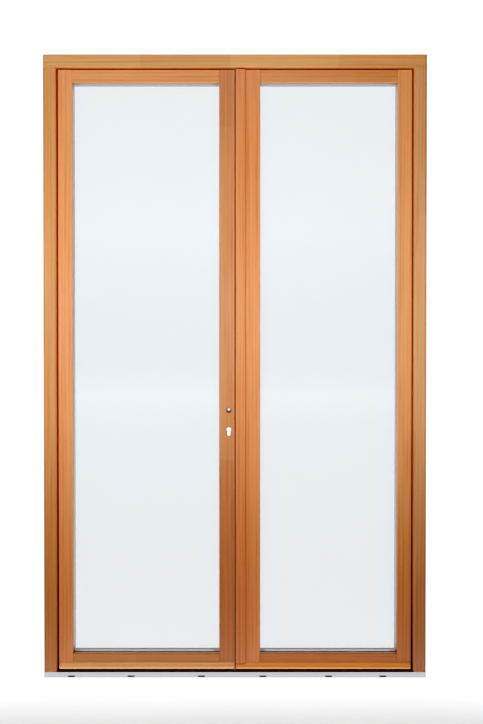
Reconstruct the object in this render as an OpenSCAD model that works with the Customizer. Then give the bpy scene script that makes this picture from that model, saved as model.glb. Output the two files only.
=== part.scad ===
// Pair of glazed timber french doors in their frame, with an aluminium threshold.
// X runs across the opening, Y from outdoors (negative) to indoors, Z up.
// The origin is the middle of the threshold's underside.

/* [Frame] */
// Overall width of the frame
frame_w = 1340; // [1100:5:1640]
// Overall height of the frame, threshold included
frame_h = 2180; // [1800:5:2620]
// Depth of the jambs, head and threshold
frame_depth = 58; // [56:1:70]
// Width of the jambs and head seen from outdoors
frame_face = 45; // [42:1:58]
// Depth of the nose that the leaves sit inside
nose_depth = 33; // [30:1:36]
// Step from the nose back to the rebate behind it
rebate_step = 14; // [12:1:16]
// Chamfer along the inner edge of the nose
nose_chamfer = 4; // [2:0.5:6]
// Width of the shallow sealing rebate round the outer edge
seal_rebate_w = 7; // [4:1:10]
// Depth of that sealing rebate
seal_rebate_d = 3; // [2:0.5:5]

/* [Threshold] */
// Height of the front face, which the jambs stand on
sill_front_h = 19.5; // [16:0.5:22]
// Height of the nose between the jambs
sill_nose_h = 23; // [22.5:0.5:27]
// Height of the low part behind the nose
sill_back_h = 9; // [8:0.5:10]
// Wall of the extrusion
sill_wall = 2; // [1.5:0.5:2]
// Width of the groove behind the front edge
sill_groove_w = 5; // [4:0.5:6]
// Depth of that groove
sill_groove_d = 3; // [2:0.5:3]
// Width of the level top of the nose
sill_crest_w = 10; // [8:1:14]
// Length of the slope's rise above the front face
sill_rise = 1; // [0.5:0.5:2]
// Width of a drain slot
drain_w = 24; // [16:1:30]
// Height of a drain slot
drain_h = 5; // [4:0.5:6]
// Places of the drain slots as shares of the width, from the middle
drain_places = [-0.428, -0.272, -0.088, 0.073, 0.245, 0.387];

/* [Leaves] */
// Thickness of a leaf
leaf_t = 56; // [52:1:62]
// How far the leaves lie behind the outdoor face of the frame
leaf_setback = 14; // [12:1:16]
// Gap between a leaf's edges and the frame
edge_gap = 4.5; // [3.5:0.25:6]
// Gap between a leaf and the threshold behind its nose
foot_gap = 4; // [3:0.5:6]
// Gap that the frame gasket closes
stop_gap = 3; // [2.5:0.5:3.5]
// How far the indoor lip of a leaf covers the frame
lip_overlap = 12; // [10:1:12]
// Gap between that lip and the frame
lip_gap = 2; // [1.5:0.5:2.5]
// Gap between the two leaves
meeting_gap = 3.5; // [3.25:0.25:5]
// Outdoor width of the hinge stiles
hinge_stile_w = 50; // [46:1:70]
// Outdoor width of the lock stile
lock_stile_w = 54; // [54:1:80]
// Outdoor width of the stile that carries the cover strip
cover_stile_w = 87; // [76:1:110]
// Outdoor height of the top rails
top_rail_h = 45; // [42:1:90]
// Outdoor height of the bottom rails
bottom_rail_h = 52; // [48:1:140]
// Small chamfer on outdoor edges
arris = 1.5; // [0.5:0.5:2]
// Length of a rail's tenon
tenon_l = 24; // [18:1:26]
// Thickness of a rail's tenon
tenon_t = 14; // [10:1:16]
// Timber left above and below a tenon
tenon_shoulder = 5; // [4:0.5:6]

/* [Glazing] */
// Thickness of the outdoor lip that holds the glass
glass_lip = 16; // [14:1:18]
// Height of the glazing rebate
glass_rebate = 16; // [14:1:18]
// Thickness of each pane
pane_t = 4; // [3:1:4]
// Width of the gap between the panes
cavity_t = 16; // [12:1:16]
// Thickness of the outdoor glazing tape
tape_t = 3; // [2:0.5:3]
// Gap between the glass unit and the timber round it
block_t = 4; // [3:0.5:5]
// Height of the spacer bars
spacer_h = 8; // [6:0.5:8]
// Gap between the indoor pane and the beads
bead_gap = 1; // [0.5:0.5:1.5]
// Chamfer on the beads
bead_chamfer = 4; // [2:0.5:6]

/* [Weather bars and cover strip] */
// Height of the weather bar at its back
bar_h = 18; // [16:1:30]
// How far the weather bar stands out
bar_out = 14; // [12:1:16]
// Height of the weather bar's nose
bar_nose_h = 6; // [4:0.5:8]
// Height of the weather bar's underside above the leaf's foot
bar_lift = 2.5; // [1:0.5:6]
// Width and depth of the drip groove under the bar
drip_w = 3; // [2:0.5:4]
// Clearance between a bar's end and the frame
bar_end_gap = 8; // [6:0.5:10]
// How much shorter a bar is than its leaf at the meeting edge
bar_meeting_gap = 1.25; // [1:0.25:4]
// Width of the cover strip
strip_w = 36; // [28:1:44]
// How far the cover strip stands out
strip_out = 12; // [8:1:12]
// Radius of the cover strip's edges
strip_r = 7; // [3:0.5:8]

/* [Hinges] */
// Height of the lowest hinge's middle above the bottom of the frame
hinge_foot = 250; // [180:5:400]
// Depth of the highest hinge's middle below the top of the frame
hinge_drop = 250; // [180:5:400]
// Radius of a hinge barrel
barrel_r = 8; // [7:0.5:8]
// Length of each half of a barrel
barrel_l = 44; // [36:1:60]
// Radius of the hinge pin
pin_r = 4; // [3:0.5:4.5]
// Radial clearance round the pin
pin_clear = 0.05; // [0.02:0.01:0.1]
// Gap between the halves of a barrel
knuckle_gap = 0.4; // [0.3:0.1:1]
// Radius of the screw-in studs
stud_r = 3; // [2.5:0.5:3.5]
// Length of a stud in the timber
stud_l = 22; // [16:1:26]
// Gap between a barrel and the timber
barrel_gap = 1; // [0.5:0.25:1.25]
// Distance between the two studs of a half
stud_pitch = 24; // [18:1:30]

/* [Lock] */
// Height of the handle spindle
spindle_z = 938; // [850:1:1100]
// Distance from the spindle down to the cylinder
cylinder_drop = 70; // [70:1:92]
// Distance from the leaf's edge back to the spindle
backset = 20; // [20:0.5:21]
// Radius of the handle's bore in the stile
handle_bore_r = 9.5; // [8:0.5:11]
// Height of the profile cylinder's hole
euro_h = 36; // [33:1:38]
// Radius of the round part of that hole
euro_r = 9; // [8.5:0.25:9.5]
// Width of the lower part of that hole
euro_slot_w = 11; // [10:0.5:11]
// Side of the square spindle hole
spindle_sq = 7; // [6:1:8]
// Travel of the rods and flush bolts
bolt_travel = 14; // [10:1:14]
// Travel of the dead bolt
dead_travel = 14; // [10:1:16]
// Radius of the rods' round ends and of the flush bolts
bolt_r = 4; // [3.5:0.5:4.5]
// Width of the faceplate
plate_w = 16; // [14:1:18]
// Thickness of the faceplate, strike and flush-bolt plates
plate_t = 3; // [2:0.5:3]
// Height of the dead bolt
dead_h = 24; // [20:1:30]
// Height of the strike plate
strike_h = 80; // [60:5:120]
// Length of a flush bolt
flush_l = 150; // [120:5:200]
// Length of a flush bolt's plate
flush_plate_l = 120; // [100:5:160]

/* [Hidden] */

$fn = 48;
// Overshoot of a cutting tool
cut = 1;

// Depths of the frame and leaves
frame_y0 = -frame_depth / 2;
frame_y1 = frame_depth / 2;
nose_y1 = frame_y0 + nose_depth;
leaf_y0 = frame_y0 + leaf_setback;
leaf_y1 = leaf_y0 + leaf_t;
step_y = nose_y1 + stop_gap;
lip_y = frame_y1 + lip_gap;

// Half widths and heights of the frame's opening and of the leaves
half_w = frame_w / 2;
mortise_clear = 0.1;
nose_x = half_w - frame_face;
rebate_x = nose_x + rebate_step;
leaf_x = nose_x - edge_gap;
core_x = rebate_x - edge_gap;
lip_x = rebate_x + lip_overlap;
nose_z = frame_h - frame_face;
rebate_z = nose_z + rebate_step;
leaf_top = nose_z - edge_gap;
core_top = rebate_z - edge_gap;
lip_top = rebate_z + lip_overlap;
leaf_foot = sill_nose_h + edge_gap;
core_foot = sill_back_h + foot_gap;
meet_x = meeting_gap / 2;

// Threshold
drain_z = sill_wall + 0.5;

// Glazing
glass_y0 = leaf_y0 + glass_lip;
outer_pane_y = glass_y0 + tape_t;
cavity_y = outer_pane_y + pane_t;
inner_pane_y = cavity_y + cavity_t;
bead_y = inner_pane_y + pane_t + bead_gap;
unit_cover = glass_rebate - block_t;
tape_inset = 1;
tape_h = unit_cover - tape_inset;
sight_z0 = leaf_foot + bottom_rail_h;
sight_z1 = leaf_top - top_rail_h;
// Sight lines of the left leaf, and of the right leaf seen in the mirror
sight_x0 = -leaf_x + hinge_stile_w;
lock_sight_x = -meet_x - lock_stile_w;
cover_sight_x = -meet_x - cover_stile_w;
block_l = 80;
block_inset = 60;

// Weather bars
bar_z0 = leaf_foot + bar_lift;
bar_z1 = bar_z0 + bar_h;
bar_ease = 1.5;

// Hinges
axis_x = lip_x + barrel_gap + barrel_r;
axis_y = frame_y1 + barrel_gap / 2 + barrel_r;
// The middle hinge is halfway between the other two
hinge_top_z = frame_h - hinge_drop;
hinge_z = [hinge_foot, (hinge_foot + hinge_top_z) / 2, hinge_top_z];
// The leaf's studs sit in the middle of its lip
leaf_stud_y = (lip_y + leaf_y1) / 2;
stud_clear = 0.1;
stud_gap = 1;
// Blind end of the pin and of its bore
pin_end = 4;
bore_end = 3;

// Frame gasket
gasket_inset = 2;
gasket_w = 6;
gasket_x0 = nose_x + gasket_inset;
gasket_x1 = gasket_x0 + gasket_w;
gasket_mid_x = gasket_x0 + gasket_w / 2;
gasket_z0 = nose_z + gasket_inset;
gasket_z1 = gasket_z0 + gasket_w;
gasket_mid_z = gasket_z0 + gasket_w / 2;
gasket_foot_z = sill_nose_h - 2.5;
gasket_clear = 0.3;
gasket_y1 = step_y - gasket_clear;
stem_w = 2.8;
stem_l = 5;
stem_clear = 0.1;
sill_seal_z1 = sill_nose_h - 3;

// Meeting seal
seal_y0 = leaf_y0 + 2;
seal_w = 4;
seal_stem_l = 4;
seal_stem_t = 1.8;
seal_groove_t = 2;
seal_gap = 0.5;

// Lock: the case sits behind the faceplate in the lock stile
plate_foot = 100;
plate_head = 120;
plate_clear = 0.2;
spindle_x = -(meet_x + backset);
cylinder_z = spindle_z - cylinder_drop;
case_wall = 1.5;
case_t = 15;
case_back = 16;
case_above = 37;
case_below = 73;
case_mid_y = (leaf_y0 + leaf_y1) / 2;
case_y0 = case_mid_y - case_t / 2;
case_x1 = -(meet_x + plate_t);
case_x0 = spindle_x - case_back;
case_z1 = spindle_z + case_above;
case_z0 = cylinder_z - case_below;
plate_y0 = case_mid_y - plate_w / 2;
plate_z0 = plate_foot;
plate_z1 = frame_h - plate_head;
bolt_clear = 0.25;
rod_w = 5;
rod_t = 4.5;
rod_axis_x = case_x1 - bolt_clear - bolt_r;
rod_x0 = rod_axis_x - rod_w / 2;
rod_x1 = rod_axis_x + rod_w / 2;
rod_y0 = case_y0 + case_wall + 0.5;
rod_clear = 0.4;
rod_groove_d = 2 * (bolt_r + bolt_clear);
rod_groove_w = 12;
rod_join = 40;
rod_end_gap = 2;
rod_hub_gap = 8;
// How far the tips of the rods and bolts sit inside the leaf at rest
tip_set = 1;
foot_set = 3.5;
follower_r = 9;
follower_gap = 0.5;
hub_r = 8;
hub_clear = 0.06;
dead_t = 6;
dead_l = 27.75;
dead_clear = 0.3;
dead_y0 = rod_y0 + rod_t + 0.5;
dead_z = cylinder_z - 48;
pocket_d = 18;
pocket_clear = 1;
flush_x = meet_x + plate_t + 2 * bolt_clear + bolt_r;
flush_plate_inset = 20;
flush_low_z = core_foot + flush_plate_inset;
flush_high_z = core_top - flush_plate_inset - flush_plate_l;
flush_slot_w = 5;
flush_slot_inset = 30;
flush_cavity_w = 7;
flush_cavity_inset = 20;
thumb_w = 4;
thumb_h = 12;
thumb_inset = 40;
keeper_t = 2;
keeper_w = 44;
keeper_d = 12;

timber = [0.78, 0.50, 0.28];
frame_timber = [0.72, 0.50, 0.30];
metal = [0.75, 0.76, 0.78];
rubber = [0.15, 0.12, 0.10];
glass = [0.86, 0.90, 0.92, 0.4];
steel = [0.66, 0.67, 0.68];

// A box given by its lowest and highest corners
module span(low, high) {
    translate(low) cube(high - low);
}

// A section drawn in Y and Z, carried along X from x0 to x1
module along_x(x0, x1) {
    translate([x0, 0, 0]) rotate([90, 0, 90]) linear_extrude(x1 - x0) children();
}

// A section drawn in X and Y, carried up from z0 to z1
module along_z(z0, z1) {
    translate([0, 0, z0]) linear_extrude(z1 - z0) children();
}

// A round bar along Z
module bar_z(x, y, z0, z1, r) {
    translate([x, y, z0]) cylinder(r = r, h = z1 - z0);
}

// Everything of the right side is the left side mirrored
module on_side(side) {
    mirror([side > 0 ? 1 : 0, 0, 0]) children();
}

// ---------- Frame ----------

// Section of the left jamb, seen from above
module jamb_section() {
    polygon([
        [-half_w + seal_rebate_w, frame_y0],
        [-nose_x - nose_chamfer, frame_y0],
        [-nose_x, frame_y0 + nose_chamfer],
        [-nose_x, nose_y1],
        [-rebate_x, nose_y1],
        [-rebate_x, frame_y1],
        [-half_w, frame_y1],
        [-half_w, frame_y0 + seal_rebate_d],
        [-half_w + seal_rebate_w, frame_y0 + seal_rebate_d]
    ]);
}

// The gasket's stem beside the left jamb, or its groove when extra is a clearance
module upright_stem(extra) {
    half = stem_w / 2 + extra;
    span([-gasket_mid_x - half, nose_y1 - stem_l, gasket_foot_z],
        [-gasket_mid_x + half, nose_y1 + extra, gasket_mid_z + half]);
}

// The gasket's stem under the head, or its groove
module level_stem(extra) {
    half = stem_w / 2 + extra;
    span([-gasket_mid_x - half, nose_y1 - stem_l, gasket_mid_z - half],
        [gasket_mid_x + half, nose_y1 + extra, gasket_mid_z + half]);
}

module jamb() {
    difference() {
        along_z(sill_back_h, nose_z) jamb_section();
        // The foot is scribed over the threshold
        span([-half_w - cut, frame_y0 - cut, 0], [-nose_x + cut, nose_y1, sill_front_h]);
        upright_stem(stem_clear);
        for (z = hinge_z) frame_studs(z, stud_clear);
    }
    // Indoor part of the jamb, up to the rebate of the head
    difference() {
        span([-half_w, nose_y1, nose_z], [-rebate_x, frame_y1, rebate_z]);
        for (z = hinge_z) frame_studs(z, stud_clear);
    }
}

module left_jamb() {
    color(frame_timber) jamb();
}

module right_jamb() {
    color(frame_timber) on_side(1) jamb();
}

// Section of the head, drawn in Y and Z
module head_section() {
    polygon([
        [frame_y0, nose_z],
        [nose_y1, nose_z],
        [nose_y1, rebate_z],
        [frame_y1, rebate_z],
        [frame_y1, frame_h],
        [frame_y0 + arris, frame_h],
        [frame_y0, frame_h - arris]
    ]);
}

module head() {
    color(frame_timber) difference() {
        along_x(-half_w, half_w) head_section();
        // Chamfer between the jambs
        along_x(-nose_x, nose_x) polygon([
            [frame_y0 - cut, nose_z - cut],
            [frame_y0 + nose_chamfer + cut, nose_z - cut],
            [frame_y0 - cut, nose_z + nose_chamfer + cut]
        ]);
        // Sealing rebate at both ends
        for (side = [-1, 1]) on_side(side)
            span([-half_w - cut, frame_y0 - cut, nose_z - cut],
                [-half_w + seal_rebate_w, frame_y0 + seal_rebate_d, frame_h + cut]);
        level_stem(stem_clear);
        for (side = [-1, 1]) on_side(side) upright_stem(stem_clear);
        bolt_holes(rebate_z - cut, rebate_z + bolt_travel);
    }
}

// Holes for the ends of the rods and flush bolts
module bolt_holes(z0, z1) {
    bar_z(rod_axis_x, case_mid_y, z0, z1, bolt_r + bolt_clear);
    bar_z(flush_x, case_mid_y, z0, z1, bolt_r + bolt_clear);
}

module head_keeper() {
    color(steel) difference() {
        span([-keeper_w / 2, case_mid_y - keeper_d / 2, rebate_z - keeper_t],
            [keeper_w / 2, case_mid_y + keeper_d / 2, rebate_z]);
        bolt_holes(rebate_z - keeper_t - cut, rebate_z + cut);
    }
}

// Outline of the threshold, drawn in Y and Z
module sill_outline() {
    groove_y = frame_y0 + sill_wall;
    slope_y = groove_y + sill_groove_w;
    polygon([
        [frame_y0, 0],
        [frame_y1, 0],
        [frame_y1, sill_back_h],
        [nose_y1, sill_back_h],
        [nose_y1, sill_nose_h],
        [nose_y1 - sill_crest_w, sill_nose_h],
        [slope_y, sill_front_h + sill_rise],
        [slope_y, sill_front_h - sill_groove_d],
        [groove_y, sill_front_h - sill_groove_d],
        [groove_y, sill_front_h],
        [frame_y0, sill_front_h]
    ]);
}

// Chambers of the extrusion
module sill_chambers() {
    floor_z = sill_front_h - sill_groove_d - sill_wall;
    polygon([
        [frame_y0 + sill_wall, sill_wall],
        [nose_y1 - 3 * sill_wall, sill_wall],
        [nose_y1 - 3 * sill_wall, floor_z],
        [frame_y0 + sill_wall, floor_z]
    ]);
    polygon([
        [nose_y1 - 2 * sill_wall, sill_wall],
        [frame_y1 - sill_wall, sill_wall],
        [frame_y1 - sill_wall, sill_back_h - sill_wall],
        [nose_y1 - 2 * sill_wall, sill_back_h - sill_wall]
    ]);
}

module threshold() {
    color(metal) difference() {
        along_x(-half_w, half_w) difference() {
            sill_outline();
            sill_chambers();
        }
        // The jambs stand on the front face
        for (side = [-1, 1]) on_side(side)
            span([-half_w - cut, frame_y0 - cut, sill_front_h], [-nose_x, frame_y1 + cut, frame_h]);
        for (place = drain_places)
            translate([place * frame_w, 0, 0])
                span([-drain_w / 2, frame_y0 - cut, drain_z],
                    [drain_w / 2, frame_y0 + sill_wall + cut, drain_z + drain_h]);
        bolt_holes(sill_wall, sill_back_h + cut);
    }
}

module frame_gasket() {
    color(rubber) {
        for (side = [-1, 1]) on_side(side) {
            span([-gasket_x1, nose_y1, gasket_foot_z], [-gasket_x0, gasket_y1, gasket_z1]);
            upright_stem(0);
        }
        span([-gasket_x1, nose_y1, gasket_z0], [gasket_x1, gasket_y1, gasket_z1]);
        level_stem(0);
    }
}

module threshold_seal() {
    color(rubber) span([-gasket_x1, nose_y1, sill_seal_z1 - gasket_w],
        [gasket_x1, gasket_y1, sill_seal_z1]);
}

// ---------- Hinges ----------

// Studs of the frame half, screwed into the indoor face of the jamb
module frame_studs(z, extra) {
    for (dz = [-stud_pitch / 2, stud_pitch / 2])
        translate([-axis_x, frame_y1 - stud_l, z - barrel_l / 2 + dz]) rotate([-90, 0, 0])
            cylinder(r = stud_r + extra, h = stud_l + barrel_r / 2);
}

// Studs of the leaf half, screwed into the edge of the leaf's lip
module leaf_studs(z, extra) {
    for (dz = [-stud_pitch / 2, stud_pitch / 2])
        translate([-axis_x + pin_r + stud_gap, leaf_stud_y, z + barrel_l / 2 + dz]) rotate([0, 90, 0])
            cylinder(r = stud_r + extra, h = stud_l + barrel_r - pin_r + extra);
}

// Lower half of a hinge, with the pin
module hinge_pin_half(z) {
    color(steel) {
        bar_z(-axis_x, axis_y, z - barrel_l, z, barrel_r);
        bar_z(-axis_x, axis_y, z - cut, z + barrel_l - pin_end, pin_r);
        frame_studs(z, 0);
    }
}

// Upper half of a hinge, bored for the pin
module hinge_cup_half(z) {
    color(steel) difference() {
        union() {
            bar_z(-axis_x, axis_y, z + knuckle_gap, z + barrel_l, barrel_r);
            leaf_studs(z, 0);
        }
        bar_z(-axis_x, axis_y, z - cut, z + barrel_l - bore_end, pin_r + pin_clear);
    }
}

// ---------- Leaves ----------

// Cuts that give a stile's top and foot the steps of the rails
module leaf_end_cuts(x0, x1) {
    span([x0 - cut, leaf_y0 - cut, leaf_top], [x1 + cut, step_y, lip_top + cut]);
    span([x0 - cut, step_y - cut, core_top], [x1 + cut, lip_y, lip_top + cut]);
    span([x0 - cut, leaf_y0 - cut, core_foot - cut], [x1 + cut, step_y, leaf_foot]);
}

// Hinge stile of the left leaf, seen from above
module hinge_stile_section() {
    inner = -leaf_x + hinge_stile_w;
    polygon([
        [-leaf_x + arris, leaf_y0],
        [inner - arris, leaf_y0],
        [inner, leaf_y0 + arris],
        [inner, glass_y0],
        [inner - glass_rebate, glass_y0],
        [inner - glass_rebate, leaf_y1],
        [-lip_x, leaf_y1],
        [-lip_x, lip_y],
        [-core_x, lip_y],
        [-core_x, step_y],
        [-leaf_x, step_y],
        [-leaf_x, leaf_y0 + arris]
    ]);
}

// Meeting stile from its edge at -meet_x to the sight line, seen from above
module meeting_stile_section(inner) {
    polygon([
        [-meet_x - arris / 2, leaf_y0],
        [-meet_x, leaf_y0 + arris / 2],
        [-meet_x, leaf_y1],
        [inner + glass_rebate, leaf_y1],
        [inner + glass_rebate, glass_y0],
        [inner, glass_y0],
        [inner, leaf_y0 + arris],
        [inner + arris, leaf_y0]
    ]);
}

// A rail's two tenons, or their mortises when extra is a clearance.
// x0 and x1 are the sight lines, z0 and z1 the tenon's underside and top.
module tenons(x0, x1, z0, z1, extra) {
    mid = (glass_y0 + leaf_y1) / 2;
    span([x0 - glass_rebate - tenon_l - extra, mid - tenon_t / 2 - extra, z0 - extra],
        [x1 + glass_rebate + tenon_l + extra, mid + tenon_t / 2 + extra, z1 + extra]);
}

module top_tenons(x0, x1, extra) {
    tenons(x0, x1, sight_z1 + glass_rebate + tenon_shoulder, core_top - tenon_shoulder, extra);
}

module foot_tenons(x0, x1, extra) {
    tenons(x0, x1, core_foot + tenon_shoulder, sight_z0 - glass_rebate - tenon_shoulder, extra);
}

module top_rail(x1) {
    x0 = sight_x0;
    color(timber) {
        along_x(x0, x1) polygon([
            [leaf_y0 + arris, sight_z1],
            [glass_y0, sight_z1],
            [glass_y0, leaf_top],
            [leaf_y0 + arris, leaf_top],
            [leaf_y0, leaf_top - arris],
            [leaf_y0, sight_z1 + arris]
        ]);
        along_x(x0 - glass_rebate, x1 + glass_rebate) polygon([
            [glass_y0, sight_z1 + glass_rebate],
            [leaf_y1, sight_z1 + glass_rebate],
            [leaf_y1, lip_top],
            [lip_y, lip_top],
            [lip_y, core_top],
            [step_y, core_top],
            [step_y, leaf_top],
            [glass_y0, leaf_top]
        ]);
        top_tenons(x0, x1, 0);
    }
}

module bottom_rail(x1) {
    x0 = sight_x0;
    color(timber) {
        along_x(x0, x1) polygon([
            [leaf_y0 + arris, leaf_foot],
            [glass_y0, leaf_foot],
            [glass_y0, sight_z0],
            [leaf_y0 + arris, sight_z0],
            [leaf_y0, sight_z0 - arris],
            [leaf_y0, leaf_foot + arris]
        ]);
        along_x(x0 - glass_rebate, x1 + glass_rebate) polygon([
            [glass_y0, leaf_foot],
            [step_y, leaf_foot],
            [step_y, core_foot],
            [leaf_y1, core_foot],
            [leaf_y1, sight_z0 - glass_rebate],
            [glass_y0, sight_z0 - glass_rebate]
        ]);
        foot_tenons(x0, x1, 0);
    }
}

// A leaf is drawn on the left side; x1 is the sight line at its meeting stile
module hinge_stile(x1) {
    color(timber) difference() {
        along_z(core_foot, lip_top) hinge_stile_section();
        leaf_end_cuts(-lip_x, sight_x0);
        top_tenons(sight_x0, x1, mortise_clear);
        foot_tenons(sight_x0, x1, mortise_clear);
        for (z = hinge_z) leaf_studs(z, stud_clear);
    }
}

module meeting_stile(x1) {
    difference() {
        along_z(core_foot, lip_top) meeting_stile_section(x1);
        leaf_end_cuts(x1, 0);
        top_tenons(sight_x0, x1, mortise_clear);
        foot_tenons(sight_x0, x1, mortise_clear);
    }
}

// Ring round the glass; outer and inner are distances beyond the sight lines
module unit_ring(x1, y0, y1, outer, inner) {
    difference() {
        span([sight_x0 - outer, y0, sight_z0 - outer], [x1 + outer, y1, sight_z1 + outer]);
        span([sight_x0 - inner, y0 - cut, sight_z0 - inner], [x1 + inner, y1 + cut, sight_z1 + inner]);
    }
}

module pane(x1, y) {
    color(glass) span([sight_x0 - unit_cover, y, sight_z0 - unit_cover],
        [x1 + unit_cover, y + pane_t, sight_z1 + unit_cover]);
}

module spacer(x1) {
    color(metal) unit_ring(x1, cavity_y, inner_pane_y, spacer_h, 0);
}

module glazing_tape(x1) {
    color(rubber) unit_ring(x1, glass_y0, outer_pane_y, unit_cover, unit_cover - tape_h);
}

module setting_blocks(x1) {
    z1 = sight_z0 - unit_cover;
    color(rubber) for (x = [sight_x0 + block_inset, x1 - block_inset - block_l])
        span([x, outer_pane_y, z1 - block_t], [x + block_l, inner_pane_y + pane_t, z1]);
}

// Section of a bead: u runs from the sight line into the rebate, v is depth
module bead_section() {
    polygon([
        [0, bead_y],
        [glass_rebate, bead_y],
        [glass_rebate, leaf_y1],
        [bead_chamfer, leaf_y1],
        [0, leaf_y1 - bead_chamfer]
    ]);
}

module bead_level(x1, z, up) {
    color(timber) translate([0, 0, z]) mirror([0, 0, up ? 0 : 1])
        along_x(sight_x0 - glass_rebate, x1 + glass_rebate) mirror([1, -1, 0]) bead_section();
}

module bead_upright(x, inward) {
    color(timber) translate([x, 0, 0]) mirror([inward ? 1 : 0, 0, 0])
        along_z(sight_z0, sight_z1) bead_section();
}

// Weather bar section, drawn in Y and Z
module bar_section() {
    y_out = leaf_y0 - bar_out;
    polygon([
        [leaf_y0, bar_z0],
        [leaf_y0, bar_z1],
        [leaf_y0 - bar_ease, bar_z1],
        [y_out + bar_ease, bar_z0 + bar_nose_h + bar_ease],
        [y_out, bar_z0 + bar_nose_h],
        [y_out, bar_z0 + bar_ease],
        [y_out + bar_ease, bar_z0],
        [y_out + drip_w, bar_z0],
        [y_out + drip_w, bar_z0 + drip_w],
        [y_out + 2 * drip_w, bar_z0 + drip_w],
        [y_out + 2 * drip_w, bar_z0]
    ]);
}

module weather_bar() {
    color(timber) along_x(-nose_x + bar_end_gap, -meet_x - bar_meeting_gap) bar_section();
}

// ---------- Lock ----------

// The profile cylinder's hole through the leaf: a circle over a round-ended slot
module euro_hole() {
    slot_end = euro_h - euro_r - euro_slot_w / 2;
    translate([spindle_x, leaf_y1 + cut, cylinder_z]) rotate([90, 0, 0])
        linear_extrude(leaf_t + 2 * cut) {
            circle(r = euro_r);
            translate([-euro_slot_w / 2, -slot_end]) square([euro_slot_w, slot_end]);
            translate([0, -slot_end]) circle(r = euro_slot_w / 2);
        }
}

// Round bore along Y at the spindle
module spindle_bore(r, y0, y1) {
    translate([spindle_x, y0, spindle_z]) rotate([-90, 0, 0]) cylinder(r = r, h = y1 - y0);
}

module lock_leaf_lock_stile() {
    color(timber) difference() {
        meeting_stile(lock_sight_x);
        span([case_x1, plate_y0, plate_z0], [0, plate_y0 + plate_w, plate_z1]);
        span([case_x1 - rod_groove_d, case_mid_y - rod_groove_w / 2, plate_z0],
            [0, case_mid_y + rod_groove_w / 2, plate_z1]);
        span([case_x0, case_y0, case_z0], [0, case_y0 + case_t, case_z1]);
        for (z = [[core_foot - cut, plate_z0 + cut], [plate_z1 - cut, lip_top]])
            bar_z(rod_axis_x, case_mid_y, z[0], z[1], bolt_r + bolt_clear);
        spindle_bore(handle_bore_r, leaf_y0 - cut, leaf_y1 + cut);
        euro_hole();
    }
}

module lock_faceplate() {
    color(steel) difference() {
        span([case_x1, plate_y0, plate_z0], [-meet_x - plate_clear, plate_y0 + plate_w, plate_z1]);
        dead_bolt_room(case_x1 - cut, 0, dead_clear);
    }
}

module lock_case() {
    color(steel) difference() {
        span([case_x0, case_y0, case_z0], [case_x1, case_y0 + case_t, case_z1]);
        span([case_x0 + case_wall, case_y0 + case_wall, case_z0 + case_wall],
            [case_x1 + cut, case_y0 + case_t - case_wall, case_z1 - case_wall]);
        span([rod_x0 - rod_clear, rod_y0 - rod_clear, case_z0 - cut],
            [case_x1 + cut, rod_y0 + rod_t + rod_clear, case_z1 + cut]);
        spindle_bore(hub_r + hub_clear, case_y0 - cut, case_y0 + case_t + cut);
        euro_hole();
    }
}

module lock_follower() {
    half = case_t / 2 - case_wall - follower_gap;
    color(steel) difference() {
        union() {
            spindle_bore(hub_r, case_y0, case_y0 + case_t);
            spindle_bore(follower_r, case_mid_y - half, case_mid_y + half);
        }
        translate([spindle_x, case_mid_y, spindle_z])
            cube([spindle_sq, case_t + 2 * cut, spindle_sq], center = true);
    }
}

// The dead bolt between x0 and x1, or the room for it when extra is a clearance
module dead_bolt_room(x0, x1, extra) {
    span([x0, dead_y0 - extra, dead_z - dead_h / 2 - extra],
        [x1, dead_y0 + dead_t + extra, dead_z + dead_h / 2 + extra]);
}

module dead_bolt() {
    x1 = -meet_x - dead_clear;
    color(steel) dead_bolt_room(x1 - dead_l, x1, 0);
}

module upper_rod() {
    color(steel) {
        span([rod_x0, rod_y0, spindle_z + rod_hub_gap],
            [rod_x1, rod_y0 + rod_t, plate_z1 - bolt_travel - rod_end_gap]);
        bar_z(rod_axis_x, case_mid_y, plate_z1 - bolt_travel - rod_join, core_top - tip_set, bolt_r);
    }
}

module lower_rod() {
    color(steel) {
        span([rod_x0, rod_y0, plate_z0 + bolt_travel + rod_end_gap],
            [rod_x1, rod_y0 + rod_t, spindle_z - rod_hub_gap]);
        bar_z(rod_axis_x, case_mid_y, core_foot + foot_set, plate_z0 + bolt_travel + rod_join, bolt_r);
    }
}

// ---------- Cover leaf hardware ----------

// A plate's recess in the cover leaf's meeting edge, from z0 to z1
module cover_recess(z0, z1) {
    span([0, plate_y0, z0], [meet_x + plate_t, plate_y0 + plate_w, z1]);
}

module cover_leaf_cover_stile() {
    color(timber) difference() {
        on_side(1) meeting_stile(cover_sight_x);
        // Strike plate and the pocket behind it
        cover_recess(dead_z - strike_h / 2, dead_z + strike_h / 2);
        dead_bolt_room(0, meet_x + pocket_d, pocket_clear);
        // Flush bolts
        bar_z(flush_x, case_mid_y, core_foot - cut, core_foot + flush_l + cut, bolt_r + bolt_clear);
        bar_z(flush_x, case_mid_y, core_top - flush_l - cut, lip_top, bolt_r + bolt_clear);
        for (z = [flush_low_z, flush_high_z]) {
            cover_recess(z, z + flush_plate_l);
            span([0, case_mid_y - flush_cavity_w / 2, z + flush_cavity_inset],
                [flush_x, case_mid_y + flush_cavity_w / 2, z + flush_plate_l - flush_cavity_inset]);
        }
        // Groove of the meeting seal
        span([0, seal_y0 + (seal_w - seal_groove_t) / 2, leaf_foot - cut],
            [meet_x + seal_stem_l + stem_clear, seal_y0 + (seal_w + seal_groove_t) / 2, leaf_top + cut]);
    }
}

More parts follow.
